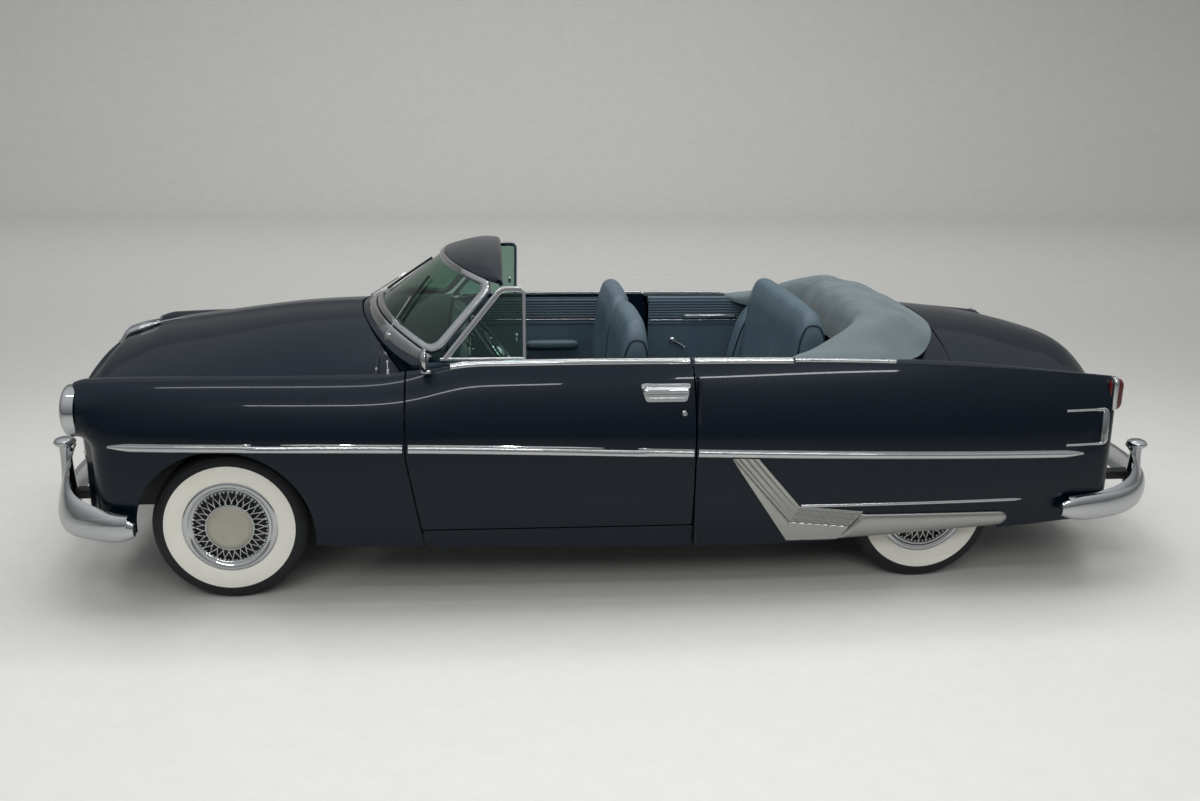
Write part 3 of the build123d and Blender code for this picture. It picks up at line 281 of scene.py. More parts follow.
# Chassis steel in satin black: dark, with a faint sheen
CHASSIS = Finish("satin_black_chassis_paint", "#16181a", "#212325", Grain.CAST, rough=0.5, pattern_mm=3,
                 bump_mm=0.1, coat=0.1)
# Grey iron castings: rough and dark
IRON = Finish("grey_cast_iron", "#2d2e2f", "#3a3a39", Grain.CAST, rough=0.62, metallic=0.7, pattern_mm=1.5,
              bump_mm=0.15)
# Aluminised exhaust pipe: dull grey, streaked along
PIPE = Finish("aluminised_pipe_steel", "#6d6b66", "#5b5650", Grain.BRUSHED, rough=0.5, metallic=1.0,
              pattern_mm=3, bump_mm=0.05)
# Enamel of the dashboard and the steering column: smooth slate blue gloss
TRIM_ENAMEL = Finish("slate_blue_enamel", "#2a3d49", "#2e424e", Grain.FLAKE, rough=0.3, pattern_mm=5,
                     bump_mm=0.0, coat=0.8)
# Moulded plastic of the steering wheel: dark blue, half glossy
PLASTIC = Finish("dark_blue_moulded_plastic", "#22333f", "#263945", Grain.MOULDED, rough=0.25, pattern_mm=6,
                 bump_mm=0.02, coat=0.5)
# Printed faces of the dials: cream, under a clear gloss
DIAL = Finish("printed_dial_face", "#c9c6b4", "#bdbaa8", Grain.MOULDED, rough=0.5, pattern_mm=5,
              bump_mm=0.0, coat=0.5)
# Sealed pale floor: matt, with soft pools of light
FLOOR = Finish("sealed_pale_floor", "#c9c8c4", "#c3c2be", Grain.MOULDED, rough=0.35, pattern_mm=60,
               bump_mm=0.0)


@dataclass
class Shape:
    """A mesh as arrays: points, faces padded with -1 to one width, and a finish number for each face."""

    points: Array
    faces: Array
    looks: Array | None = None

    def __post_init__(self) -> None:
        """Gives every face the first finish where none is said."""
        if self.looks is None:
            self.looks = np.zeros(len(self.faces), int)

    def __add__(self, other: "Shape") -> "Shape":
        """Both meshes as one, with no welding.

        Args:
            other: The second mesh.

        Returns:
            One mesh that holds both.
        """
        width = max(self.faces.shape[1], other.faces.shape[1])
        pads = [np.pad(s.faces, ((0, 0), (0, width - s.faces.shape[1])), constant_values=-1)
                for s in (self, other)]
        moved = np.where(pads[1] >= 0, pads[1] + len(self.points), -1)
        return Shape(np.vstack([self.points, other.points]), np.vstack([pads[0], moved]),
                     np.concatenate([self.looks, other.looks]))

    def look(self, number: int) -> "Shape":
        """The same mesh with another finish number."""
        return Shape(self.points, self.faces, np.full(len(self.faces), number))

    def turned_over(self) -> "Shape":
        """The same mesh with its faces the other way round."""
        count = (self.faces >= 0).sum(axis=1)[:, None]
        pick = count - 1 - np.arange(self.faces.shape[1])[None, :]
        turned = np.where(pick >= 0, np.take_along_axis(self.faces, np.maximum(pick, 0), axis=1), -1)
        return Shape(self.points, turned, self.looks)

    def mirrored(self) -> "Shape":
        """The mesh on the other side of the car."""
        return Shape(self.points * [1, -1, 1], self.faces, self.looks).turned_over()

    def twin(self) -> "Shape":
        """The mesh and its mirror image."""
        return self + self.mirrored()

    def moved(self, shift: Place) -> "Shape":
        """The mesh moved by a vector."""
        return Shape(self.points + np.asarray(shift, float), self.faces, self.looks)

    def turned(self, angle: float, axis: Place, centre: Place) -> "Shape":
        """The mesh turned by an angle in radians about an axis through a point.

        Args:
            angle: In radians.
            axis: Its direction.
            centre: The point.

        Returns:
            The turned mesh.
        """
        turn = np.array(Matrix.Rotation(angle, 3, axis))
        middle = np.asarray(centre, float)
        return Shape((self.points - middle) @ turn.T + middle, self.faces, self.looks)

    def outward(self) -> "Shape":
        """A closed mesh with its faces outwards: turned over where its signed volume is negative."""
        corner = self.points[np.maximum(self.faces, 0)]
        total = 0.0
        for i in range(1, self.faces.shape[1] - 1):
            real = self.faces[:, i + 1] >= 0
            a, b, c = corner[real, 0], corner[real, i], corner[real, i + 1]
            total += np.einsum("ij,ij->i", a, np.cross(b, c)).sum()
        return self if total >= 0 else self.turned_over()

    def welded(self) -> "Shape":
        """Four-cornered faces with equal points made one, and corners that fall together taken out."""
        places = np.round(self.points / WELD).astype(np.int64)
        _, first, same = np.unique(places, axis=0, return_index=True, return_inverse=True)
        faces = np.where(self.faces >= 0, same.reshape(-1)[np.maximum(self.faces, 0)], -1)
        double = (faces == np.roll(faces, -1, axis=1)) | (faces < 0)
        count = (~double).sum(axis=1)
        order = np.argsort(double, axis=1, kind="stable")
        packed = np.take_along_axis(faces, order, axis=1)
        packed[np.arange(faces.shape[1])[None, :] >= count[:, None]] = -1
        real = count >= 3
        return Shape(self.points[first], packed[real], self.looks[real])

    def centres(self) -> Array:
        """The mean of each face's corners."""
        real = (self.faces >= 0)[..., None]
        return (self.points[np.maximum(self.faces, 0)] * real).sum(axis=1) / real.sum(axis=1)

    def crosses(self) -> Array:
        """Each face's direction: the cross product of its two diagonals, as long as twice its area."""
        f = np.maximum(self.faces[:, :4], 0)
        last = np.where(self.faces[:, 3] >= 0, f[:, 3], f[:, 0]) if self.faces.shape[1] > 3 else f[:, 0]
        return np.cross(self.points[f[:, 2]] - self.points[f[:, 0]],
                        self.points[last] - self.points[f[:, 1]])

    def facing(self, way: Array) -> "Shape":
        """The same mesh with each face turned towards its own given direction."""
        against = np.sum(self.crosses() * way, axis=1) < 0
        return Shape(self.points, np.where(against[:, None], self.turned_over().faces, self.faces),
                     self.looks)

    def normals(self) -> Array:
        """Unit normals at the points, from the faces round each."""
        p = self.points
        across = self.crosses()
        total = np.zeros_like(p)
        for i in range(min(4, self.faces.shape[1])):
            real = self.faces[:, i] >= 0
            np.add.at(total, self.faces[real, i], across[real])
        return total / np.maximum(np.linalg.norm(total, axis=1, keepdims=True), 1e-12)

    def thick(self, depth: float, inner: Array | None = None) -> "Shape":
        """A sheet made a closed plate: the sheet, its copy set in along the normals, and walls at its
        edges.

        Args:
            depth: How far in the copy lies.
            inner: The copy's points, where they aren't along the normals.

        Returns:
            The closed plate, faces outwards.
        """
        if inner is None:
            inner = self.points - self.normals() * depth
        f = self.faces[:, :4]
        following = np.roll(f, -1, axis=1)
        three = f[:, 3] < 0
        following[three, 2] = f[three, 0]
        pairs = np.stack([f, following], axis=2).reshape(-1, 2)
        pairs = pairs[(pairs >= 0).all(axis=1)]
        key = np.sort(pairs, axis=1)
        _, back, count = np.unique(key, axis=0, return_inverse=True, return_counts=True)
        rim = pairs[count[back.reshape(-1)] == 1]
        n = len(self.points)
        walls = join(rim[:, 1], rim[:, 0], rim[:, 0] + n, rim[:, 1] + n)
        body = Shape(self.points, f, self.looks) + Shape(inner, f).turned_over()
        return Shape(body.points, np.vstack([body.faces, walls]),
                     np.concatenate([body.looks, np.zeros(len(walls), int)])).outward()

    def backed(self, y: float | Array) -> "Shape":
        """A sheet made a closed plate whose back lies at the given y."""
        inner = self.points.copy()
        inner[:, 1] = y
        return self.thick(0.0, inner)


NOTHING = Shape(np.zeros((0, 3)), np.zeros((0, 4), int))


def put(name: str, shape: Shape, finishes: Sequence[Finish], body: str, slot: str,
        replaces: Sequence[str] = (), bevel: float = 0.0, smooth: float = 35.0) -> bpy.types.Object:
    """Makes a piece from a mesh, dresses it and hands it to its body.

    Args:
        name: The piece's name.
        shape: Its mesh.
        finishes: One finish for each finish number.
        body: The CAD body that it rides on.
        slot: The record's material slot that it takes its finish from.
        replaces: The CAD nodes that it stands for.
        bevel: Width of the rounding of its sharp edges.
        smooth: Edges that turn by more than this, in degrees, stay sharp.

    Returns:
        The piece.
    """
    mesh = bpy.data.meshes.new(name)
    real = shape.faces >= 0
    count = real.sum(axis=1)
    mesh.vertices.add(len(shape.points))
    mesh.vertices.foreach_set("co", shape.points.astype(np.float32).ravel())
    mesh.loops.add(int(count.sum()))
    mesh.loops.foreach_set("vertex_index", shape.faces[real].astype(np.int32))
    mesh.polygons.add(len(shape.faces))
    mesh.polygons.foreach_set("loop_start", np.concatenate([[0], np.cumsum(count)[:-1]]).astype(np.int32))
    mesh.polygons.foreach_set("material_index", shape.looks.astype(np.int32))
    mesh.polygons.foreach_set("use_smooth", np.ones(len(shape.faces), bool))
    mesh.update(calc_edges=True)
    mesh.validate()
    mesh.set_sharp_from_angle(angle=radians(smooth))
    for finish in finishes:
        mesh.materials.append(finish.build())
    piece = bpy.data.objects.new(name, mesh)
    bpy.context.scene.collection.objects.link(piece)
    if bevel:
        cut = piece.modifiers.new("edges", "BEVEL")
        cut.width, cut.segments, cut.limit_method, cut.angle_limit = bevel, 2, "ANGLE", radians(50)
        cut.use_clamp_overlap = True
    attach(piece, body)
    if replaces:
        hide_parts(*replaces)
    log.info("%s: %d faces on %s", name, len(shape.faces), body)
    return piece


def grid(points: Array, wrap_rows: bool = False, wrap_columns: bool = False) -> Shape:
    """A sheet through a grid of points.

    Args:
        points: Rows by columns by 3.
        wrap_rows: Joins the last row to the first.
        wrap_columns: Joins the last column to the first.

    Returns:
        The sheet.
    """
    rows, columns = points.shape[:2]
    number = np.arange(rows * columns).reshape(rows, columns)
    if wrap_rows:
        number = np.vstack([number, number[:1]])
    if wrap_columns:
        number = np.hstack([number, number[:, :1]])
    faces = join(number[:-1, :-1], number[1:, :-1], number[1:, 1:], number[:-1, 1:]).reshape(-1, 4)
    return Shape(points.reshape(-1, 3), faces)


def sweep(path: Array, profile: Array, normals: Array, taper: Array | float = 1.0,
          closed: bool = False) -> Shape:
    """Carries a closed profile along a path: its first value lies across the path and its second along the
    normal.

    Args:
        path: Points of the path.
        profile: Rows of across, out.
        normals: Outward direction at each path point, or one for all.
        taper: Size of the profile at each path point, or one pair for across and out.
        closed: Joins the path's end to its start.

    Returns:
        A closed tube.
    """
    n = len(path)
    along = np.roll(path, -1, 0) - np.roll(path, 1, 0) if closed else np.gradient(path, axis=0)
    along /= np.maximum(np.linalg.norm(along, axis=1, keepdims=True), 1e-12)
    out = np.broadcast_to(np.asarray(normals, float), (n, 3))
    across = np.cross(along, out)
    across /= np.maximum(np.linalg.norm(across, axis=1, keepdims=True), 1e-12)
    out = np.cross(across, along)
    size = np.broadcast_to(np.asarray(taper, float).reshape(-1, 1) if np.ndim(taper) < 2 else taper, (n, 2))
    points = (path[:, None, :] + (profile[None, :, 0] * size[:, :1])[..., None] * across[:, None, :]
              + (profile[None, :, 1] * size[:, 1:])[..., None] * out[:, None, :])
    return grid(points, wrap_rows=True, wrap_columns=True).outward() if closed else capped(points)


def capped(points: Array) -> Shape:
    """A closed tube through rings of points, with one many-sided face over each end.

    Args:
        points: Rings by points of each by 3.

    Returns:
        The tube, faces outwards.
    """
    tube = grid(points, wrap_columns=True)
    rings, each = points.shape[:2]
    number = np.arange(rings * each).reshape(rings, each)
    width = max(4, each)
    faces = np.pad(tube.faces, ((0, 0), (0, width - 4)), constant_values=-1)
    ends = np.stack([number[0], number[-1][::-1]])
    caps = np.pad(ends, ((0, 0), (0, width - each)), constant_values=-1)
    return Shape(tube.points, np.vstack([faces, caps])).outward()


def ring(radius: float, count: int = 16) -> Array:
    """A round profile: cosine and sine of equal steps, times the radius."""
    angle = np.linspace(0, 2 * pi, count, endpoint=False)
    return radius * join(np.cos(angle), np.sin(angle))


def half_round(width: float, height: float, count: int = 9, base: float = 0.001) -> Array:
    """Profile of a bright strip: half an ellipse on a flat foot that stands a little below the surface.

    Args:
        width: Across the strip.
        height: Of its middle.
        count: Points on the ellipse.
        base: Depth of the foot.

    Returns:
        Rows of across, out.
    """
    angle = np.linspace(0, pi, count)
    arch = join(np.cos(angle) * width / 2, np.sin(angle) * height)
    return np.vstack([arch, [[-width / 2, -base], [width / 2, -base]]])


def bar(start: Place, end: Place, radius: float, count: int = 14) -> Shape:
    """A round bar between two points.

    Args:
        start: One end.
        end: The other.
        radius: Its radius.
        count: Steps round it.

    Returns:
        The closed bar.
    """
    path = np.linspace(np.asarray(start, float), np.asarray(end, float), 3)
    lean = path[-1] - path[0]
    upright = abs(lean[2]) >= 0.8 * np.linalg.norm(lean)
    return sweep(path, ring(radius, count), [1, 0, 0] if upright else [0, 0, 1])


def lathe(profile: Rows, centre: Place, axis: Place, count: int = 96) -> Shape:
    """Turns a closed profile round an axis.

    Args:
        profile: Rows of height along the axis and radius.
        centre: A point of the axis.
        axis: The axis's direction.
        count: Steps round it.

    Returns:
        The closed turned shape.
    """
    rows = np.asarray(profile, float)
    z = np.asarray(axis, float) / np.linalg.norm(axis)
    x = np.cross([0.0, 0.0, 1.0] if abs(z[2]) < 0.9 else [1.0, 0.0, 0.0], z)
    x /= np.linalg.norm(x)
    y = np.cross(z, x)
    angle = np.linspace(0, 2 * pi, count, endpoint=False)[:, None]
    radial = np.cos(angle)[..., None] * x + np.sin(angle)[..., None] * y
    points = np.asarray(centre, float) + rows[None, :, 1:] * radial + rows[None, :, :1] * z
    return grid(points, wrap_rows=True, wrap_columns=True).welded().outward()


def prism(outline: Rows, low: float, high: float, plane: str = "xz") -> Shape:
    """A flat outline given a thickness: its corners at two depths, with a face for each side.

    Args:
        outline: Corners in the plane.
        low: One depth.
        high: The other depth.
        plane: The two axes of the outline.

    Returns:
        The closed prism.
    """
    corners = np.asarray(outline, float)
    n = len(corners)
    first, second = ("xyz".index(c) for c in plane)
    third = 3 - first - second
    points = np.zeros((2, n, 3))
    points[:, :, first], points[:, :, second] = corners[:, 0], corners[:, 1]
    points[0, :, third], points[1, :, third] = low, high
    return capped(points)


def box(low: Place, high: Place) -> Shape:
    """A box between two corners."""
    return prism([(low[0], low[2]), (high[0], low[2]), (high[0], high[2]), (low[0], high[2])], low[1],
                 high[1])


def pillow(centre: Place, half: Place, radius: Place | float, count: int = 24) -> Shape:
    """A box with round corners and edges: an ellipsoid's surface pushed apart by the box's core.

    Args:
        centre: Its middle.
        half: Half its length, width and height.
        radius: Radius of its rounding, one for all or one for each axis.
        count: Steps round it.

    Returns:
        The closed shape.
    """
    size, soft = np.asarray(half, float), np.broadcast_to(np.asarray(radius, float), 3)
    turn = (np.arange(count) + 0.5) / count * 2 * pi
    rise = np.concatenate([[-pi / 2], (np.arange(count // 2) + 0.5) / (count // 2) * pi - pi / 2, [pi / 2]])
    rise, turn = np.meshgrid(rise, turn, indexing="ij")
    way = join(np.cos(rise) * np.cos(turn), np.cos(rise) * np.sin(turn), np.sin(rise))
    core = np.sign(way) * (size - soft)
    core[[0, -1], :, :2] = 0
    return grid(np.asarray(centre, float) + core + way * soft, wrap_columns=True).welded().outward()


def through(table: Array, at: Array) -> Array:
    """Natural cubic spline through a table's rows: each piece is the cubic whose second slopes the
    three-term rule gives.

    Args:
        table: Rows of place and values.
        at: Places to read.

    Returns:
        The values there, one column for each.
    """
    x, y = table[:, 0], table[:, 1:]
    h = np.diff(x)
    n = len(x)
    rule, want = np.eye(n), np.zeros_like(y)
    i = np.arange(1, n - 1)
    rule[i, i - 1], rule[i, i], rule[i, i + 1] = h[:-1], 2 * (h[:-1] + h[1:]), h[1:]
    slopes = np.diff(y, axis=0) / h[:, None]
    want[1:-1] = 6 * np.diff(slopes, axis=0)
    bend = np.linalg.solve(rule, want)
    at = np.asarray(at, float)
    k = np.clip(np.searchsorted(x, at) - 1, 0, n - 2)
    step = h[k][..., None]
    t = np.clip(at, x[0], x[-1])[..., None] - x[k][..., None]
    u = step - t
    return ((bend[k] * u ** 3 + bend[k + 1] * t ** 3) / (6 * step) + (y[k] / step - bend[k] * step / 6) * u
            + (y[k + 1] / step - bend[k + 1] * step / 6) * t)


def project(level: Callable[[Array], Array], points: Array, rounds: int = 14) -> Array:
    """Moves points onto the surface where a level function is zero, by Newton's steps along its slope.

    Args:
        level: Gives each point's height over the surface.
        points: Points near the surface.
        rounds: How many steps.

    Returns:
        Points on the surface.
    """
    tiny = 1e-4
    for _ in range(rounds):
        here = level(points)
        slope = np.stack([(level(points + np.eye(3)[i] * tiny) - here) / tiny for i in range(3)], axis=-1)
        step = here[..., None] * slope / np.maximum((slope ** 2).sum(-1, keepdims=True), 0.2)
        points = points - np.clip(step, -0.03, 0.03)
    return points


def smooth_max(a: Array, b: Array, soft: float) -> Array:
    """The larger of two values, with their corner rounded over the width given."""
    near = np.maximum(soft - np.abs(a - b), 0) / soft
    return np.maximum(a, b) + near * near * soft / 4


def panel(surface: Callable[[Array, Array], Array], u: Array, v: Array,
          outline: Callable[[Array], Array]) -> Shape:
    """A sheet on a surface, cut along an outline: faces outside it go, and the edge's points move onto it.

    Args:
        surface: Points for two parameters.
        u: Values of the first parameter.
        v: Values of the second.
        outline: Each point's distance outside the outline, negative where the sheet stays.

    Returns:
        The cut sheet.
    """
    uu, vv = (a.copy() for a in np.meshgrid(u, v, indexing="ij"))
    sheet = grid(surface(uu, vv))
    away = outline(sheet.points)
    stays = away[sheet.faces].mean(axis=1) < 0
    touched = np.zeros((2, len(sheet.points)), bool)
    touched[0, sheet.faces[stays].ravel()] = True
    touched[1, sheet.faces[~stays].ravel()] = True
    rim = np.nonzero(touched[0] & touched[1])[0]
    pu, pv = uu.ravel()[rim], vv.ravel()[rim]
    tiny_u, tiny_v = (u[-1] - u[0]) * 1e-4, (v[-1] - v[0]) * 1e-4
    cap_u, cap_v = np.abs(np.gradient(u)).max(), np.abs(np.gradient(v)).max()
    for _ in range(6 if len(rim) else 0):
        here = outline(surface(pu, pv))
        du = (outline(surface(pu + tiny_u, pv)) - here) / tiny_u * cap_u
        dv = (outline(surface(pu, pv + tiny_v)) - here) / tiny_v * cap_v
        size = np.maximum(du ** 2 + dv ** 2, 1e-12)
        pu = pu - np.clip(here * du / size, -0.6, 0.6) * cap_u
        pv = pv - np.clip(here * dv / size, -0.6, 0.6) * cap_v
    points = sheet.points
    if len(rim):
        points[rim] = surface(pu, pv)
    used, packed = np.unique(sheet.faces[stays], return_inverse=True)
    return Shape(points[used], packed.reshape(-1, 4))


def beside(x0: float, z0: float, x1: float, z1: float) -> Callable[[Array], Array]:
    """Distance to the right of the line from one x, z place to another, seen from the driver's side."""
    length = sqrt((x1 - x0) ** 2 + (z1 - z0) ** 2)
    return lambda p: ((p[..., 0] - x0) * (z1 - z0) - (p[..., 2] - z0) * (x1 - x0)) / length


def steps(*stops: tuple[float, int]) -> Array:
    """Values from stop to stop: each pair is the next stop and the number of steps to it, the first pair's
    number unused."""
    parts = [np.array([stops[0][0]])]
    for (start, _), (end, count) in zip(stops, stops[1:]):
        parts.append(np.linspace(start, end, count + 1)[1:])
    return np.concatenate(parts)


def in_frame(rows: Rows) -> Array:
    """A table in millimetres whose first column is x from the front axle, as metres in the frame."""
    table = np.asarray(rows, float) * MM
    table[:, 0] += AXLE_X
    return table


# Body sections: x, then y and z at the sill, the widest point, the crest and the valley inside it, in mm
HULL_MM = [
    (-760, 790, 350, 845, 762, 770, 978, 650, 930), (-450, 860, 342, 905, 755, 800, 993, 650, 945),
    (0, 905, 315, 950, 745, 822, 1002, 690, 955), (480, 925, 280, 972, 738, 835, 1006, 708, 965),
    (800, 932, 272, 980, 732, 842, 1024, 712, 985), (1020, 932, 265, 983, 728, 846, 1064, 712, 1010),
    (1200, 931, 260, 985, 724, 848, 1072, 712, 1016), (1500, 930, 252, 986, 716, 848, 1074, 712, 1020),
    (2035, 926, 242, 986, 702, 848, 1074, 712, 1020), (2700, 920, 252, 976, 682, 846, 1068, 710, 1006),
    (3300, 902, 275, 950, 664, 835, 1040, 700, 984), (3800, 868, 306, 908, 650, 815, 998, 684, 890),
    (4150, 820, 330, 862, 645, 790, 962, 668, 790), (4300, 790, 344, 836, 642, 772, 942, 656, 736),
]
# Bonnet: x, half width, height of its side edge and of its crown, in mm
BONNET_MM = [
    (-662, 540, 892, 900), (-658, 552, 902, 948), (-640, 566, 918, 992), (-600, 583, 937, 1024),
             (-560, 596, 952, 1046),
    (-430, 622, 962, 1086), (-200, 660, 972, 1124), (200, 690, 982, 1177), (620, 704, 996, 1197),
             (780, 704, 1004, 1198),
]
COWL_MM = [(480, 704, 990, 1190), (680, 742, 1022, 1196), (800, 776, 1052, 1194), (960, 786, 1072, 1184)]
TONNEAU_MM = [(3040, 716, 1004, 1166), (3160, 712, 994, 1160), (3281, 708, 984, 1152)]
# Deck lid: y, front height, hip x and z, tail x and z, in mm
DECK_MM = [(0, 1152, 3960, 1034, 4214, 800), (210, 1138, 3934, 1021, 4194, 793),
           (420, 1092, 3860, 978, 4130, 772), (630, 1012, 3800, 905, 4030, 740)]
DECK_FRONT_X = 3290 * MM + AXLE_X
DECK_FOOT_Z = 0.56
DECK_BULGE = 0.022
NOSE_PLAN_MM = [(0, -664), (350, -658), (690, -640), (832, -604), (930, -548), (1010, -470)]
TAIL_PLAN_MM = [(0, 4235), (400, 4181), (760, 4030), (885, 3972), (960, 3905), (1010, 3850)]
LAMP_Y, LAMP_Z = 0.765, 0.866
LAMP_FACE_X = -0.634 + AXLE_X
SEAM = 0.006
DOOR_FRONT_X = 0.786 + AXLE_X
DOOR_REAR_R = 1.246
DOOR_HINGE = (0.783 + AXLE_X, 0.975)
DOOR_SLANT_Z, DOOR_SLANT = 0.69, 0.058
DOOR_BOTTOM_Z = 0.358
DOOR_INNER_Y = 0.794
CABIN_REAR_X = 3.04 + AXLE_X
MOULD_MM = [(-461, 742), (786, 737), (2027, 700), (3840, 642)]


def plan_table(rows: Rows) -> Array:
    """A plan curve as y in metres against x in the frame."""
    table = np.asarray(rows, float) * MM
    table[:, 1] += AXLE_X
    return table


@dataclass
class Skin:
    """The lower body's outer surface, worked out from its table of sections."""

    rows: Array = field(default_factory=lambda: in_frame(HULL_MM))
    bonnet: Array = field(default_factory=lambda: in_frame(BONNET_MM))
    nose: Array = field(default_factory=lambda: plan_table(NOSE_PLAN_MM))
    tail: Array = field(default_factory=lambda: plan_table(TAIL_PLAN_MM))
    bulge: float = 0.06
    nose_round: float = 0.07
    tail_round: float = 0.035
    hood_r: float = 0.112
    hood_long: float = 0.9
    hood_soft: float = 0.035
    crest_foot: float = 2.9
    chin: float = 0.055
    chin_z: float = 0.84
    chin_y: float = 0.62
    ledge_drop: float = 0.030
    ledge_y: float = 0.45
    ledge_rise: float = 2.2
    lid_y: float = 0.60
    lid_drop: float = 0.003
    middle_x: float = 1.5 + AXLE_X

    def columns(self, x: Array) -> list[Array]:
        """The eight section numbers at each x: sill, widest point, crest and valley, as y and z."""
        return list(np.moveaxis(through(self.rows, x), -1, 0))

    def crest_circle(self, cy: Array, cz: Array, vy: Array, vz: Array) -> tuple[Array, Array, Array]:
        """Centre and radius of the circle through the crest, the bulge between and the valley.

        Args:
            cy: The crest's y.
            cz: The crest's height.
            vy: The valley's y.
            vz: The valley's height.

        Returns:
            The centre's y and z, and the radius.
        """
        ty = (cy + vy) / 2
        tz = np.maximum(cz, vz) + self.bulge * (cy - vy) - 0.3 * np.maximum(np.abs(cz - vz) - 0.04, 0)
        a, b = cy - vy, cz - vz
        c, d = ty - vy, tz - vz
        e, f = (a * (cy + vy) + b * (cz + vz)) / 2, (c * (ty + vy) + d * (tz + vz)) / 2
        det = a * d - b * c
        oy, oz = (e * d - b * f) / det, (a * f - e * c) / det
        return oy, oz, np.hypot(cy - oy, cz - oz)

    def deck_edge(self, x: Array) -> Array:
        """Height of the deck lid's side edge at each x."""
        edge = deck_profile(np.array([0.63]), np.linspace(0, 1, 60))[:, 0]
        top = edge[:48]
        return np.interp(x, top[:, 0], top[:, 2])

    def section(self, x: Array, s: Array) -> Array:
        """Points of the section: two arcs up the side, a circle over the crest, the ledge, and in to the
        middle.

        Args:
            x: Places along the car.
            s: 0 to 1 up the lower arc, to 2 up the shoulder, to 3 over the crest into the valley, to 4
                along the ledge under the bonnet or beside the deck lid, and to 5 in to the middle of the
                car.

        Returns:
            The points.
        """
        sy, sz, my, mz, cy, cz, vy, vz = self.columns(x)
        d, h = my - sy, mz - sz
        r = (d * d + h * h) / (2 * d)
        lean = -np.arcsin(h / r) * (1 - np.clip(s, 0, 1))
        y, z = my - r + r * np.cos(lean), mz + r * np.sin(lean)
        d, h = my - cy, cz - mz
        r = (d * d + h * h) / (2 * d)
        lean = np.arcsin(h / r) * np.clip(s - 1, 0, 1)
        y, z = np.where(s > 1, my - r + r * np.cos(lean), y), np.where(s > 1, mz + r * np.sin(lean), z)
        oy, oz, r = self.crest_circle(cy, cz, vy, vz)
        first, last = np.arctan2(cz - oz, cy - oy), np.arctan2(vz - oz, vy - oy)
        lean = first + (last - first) * np.clip(s - 2, 0, 1)
        y, z = np.where(s > 2, oy + r * np.cos(lean), y), np.where(s > 2, oz + r * np.sin(lean), z)
        t = np.clip(s - 3, 0, 1)
        width, edge, _ = np.moveaxis(through(self.bonnet, x), -1, 0)
        lip = width + SEAM
        floor_z = edge - self.ledge_drop
        inner_y = np.where(t < 0.5, lip, lip + (self.ledge_y - lip) * (t - 0.5) * 2)
        inner_z = np.where(t < 0.5, vz + (floor_z - vz) * (t - 0.3) / 0.2, floor_z)
        front_y = np.where(t < 0.3, vy + (lip - vy) * t / 0.3, inner_y)
        front_z = np.where(t < 0.3, vz, inner_z)
        rear_y = vy + (self.lid_y - vy) * t
        rear_z = vz + (self.deck_edge(x) - self.lid_drop - vz) * np.clip(t * self.ledge_rise, 0, 1)
        behind = x > self.middle_x
        y = np.where(s > 3, np.where(behind, rear_y, front_y), y)
        z = np.where(s > 3, np.where(behind, rear_z, front_z), z)
        y = y * (1 - np.clip(s - 4, 0, 1))
        return join(x, y, z)

    def outside(self, x: Array, s: Array) -> Array:
        """Points of the section as far as the crest's inner foot, moved onto the whole surface with its
        lamp hoods."""
        p = self.section(x, s)
        return np.where((s < self.crest_foot)[..., None], project(self.level, p), p)

    def side(self, x: Array, z: Array) -> Array:
        """The outer side's y at each x and z.

        Args:
            x: Places along the car.
            z: Heights.

        Returns:
            How far out the side stands.
        """
        sy, sz, my, mz, cy, cz, _, _ = self.columns(x)
        low = z < mz
        d, h = np.where(low, my - sy, my - cy), np.where(low, mz - sz, cz - mz)
        r = (d * d + h * h) / (2 * d)
        return my - r + np.sqrt(np.maximum(r * r - (z - mz) ** 2, 1e-9))

    def side_points(self, x: Array, z: Array, out: float | Array = 0.0) -> Array:
        """Points on the right side at each x and z, standing out by a distance."""
        x, z = np.broadcast_arrays(np.asarray(x, float), np.asarray(z, float))
        return join(x, self.side(x, z) + out, z)

    def level(self, p: Array) -> Array:
        """Height of points over the surface: the sections, cut by the nose and tail in plan with a soft
        corner, and grown out softly round each headlamp.

        Args:
            p: Points near the surface.

        Returns:
            Their heights, positive outside.
        """
        x, y, z = p[..., 0], np.abs(p[..., 1]), p[..., 2]
        _, _, my, mz, cy, cz, vy, vz = self.columns(x)
        side = y - self.side(x, z)
        d, h = my - cy, cz - mz
        r = (d * d + h * h) / (2 * d)
        shoulder = mz + np.sqrt(np.maximum(r * r - (y - my + r) ** 2, 0))
        oy, oz, big = self.crest_circle(cy, cz, vy, vz)
        crest = oz + np.sqrt(np.maximum(big * big - (y - oy) ** 2, 0))
        half, edge, _ = np.moveaxis(through(self.bonnet, x), -1, 0)
        t = np.clip((vy - y) / (vy - self.lid_y) * self.ledge_rise, 0, 1)
        rear_ledge = vz + (self.deck_edge(x) - self.lid_drop - vz) * t
        front_ledge = np.where(y < half + SEAM, edge - self.ledge_drop, vz)
        ledge = np.where(x > self.middle_x, rear_ledge, front_ledge)
        top = z - np.where(y > cy, shoulder, np.where(y > vy, crest, ledge))
        body = np.maximum(side, top)
        fall = np.clip((self.chin_z - z) / 0.14, 0, 1)
        recess = self.chin * fall * fall * (3 - 2 * fall) * np.clip((y - self.chin_y) / 0.08, 0, 1)
        reach = np.clip(y, 0, 1.01)
        front = through(self.nose, reach)[..., 0] + recess - x
        back = x - through(self.tail, reach)[..., 0]
        body = smooth_max(body, front, self.nose_round)
        body = smooth_max(body, back, self.tail_round)
        round_lamp = np.hypot(y - LAMP_Y, z - LAMP_Z) - self.hood_r
        hood = np.maximum.reduce([round_lamp, LAMP_FACE_X - x, x - LAMP_FACE_X - self.hood_long])
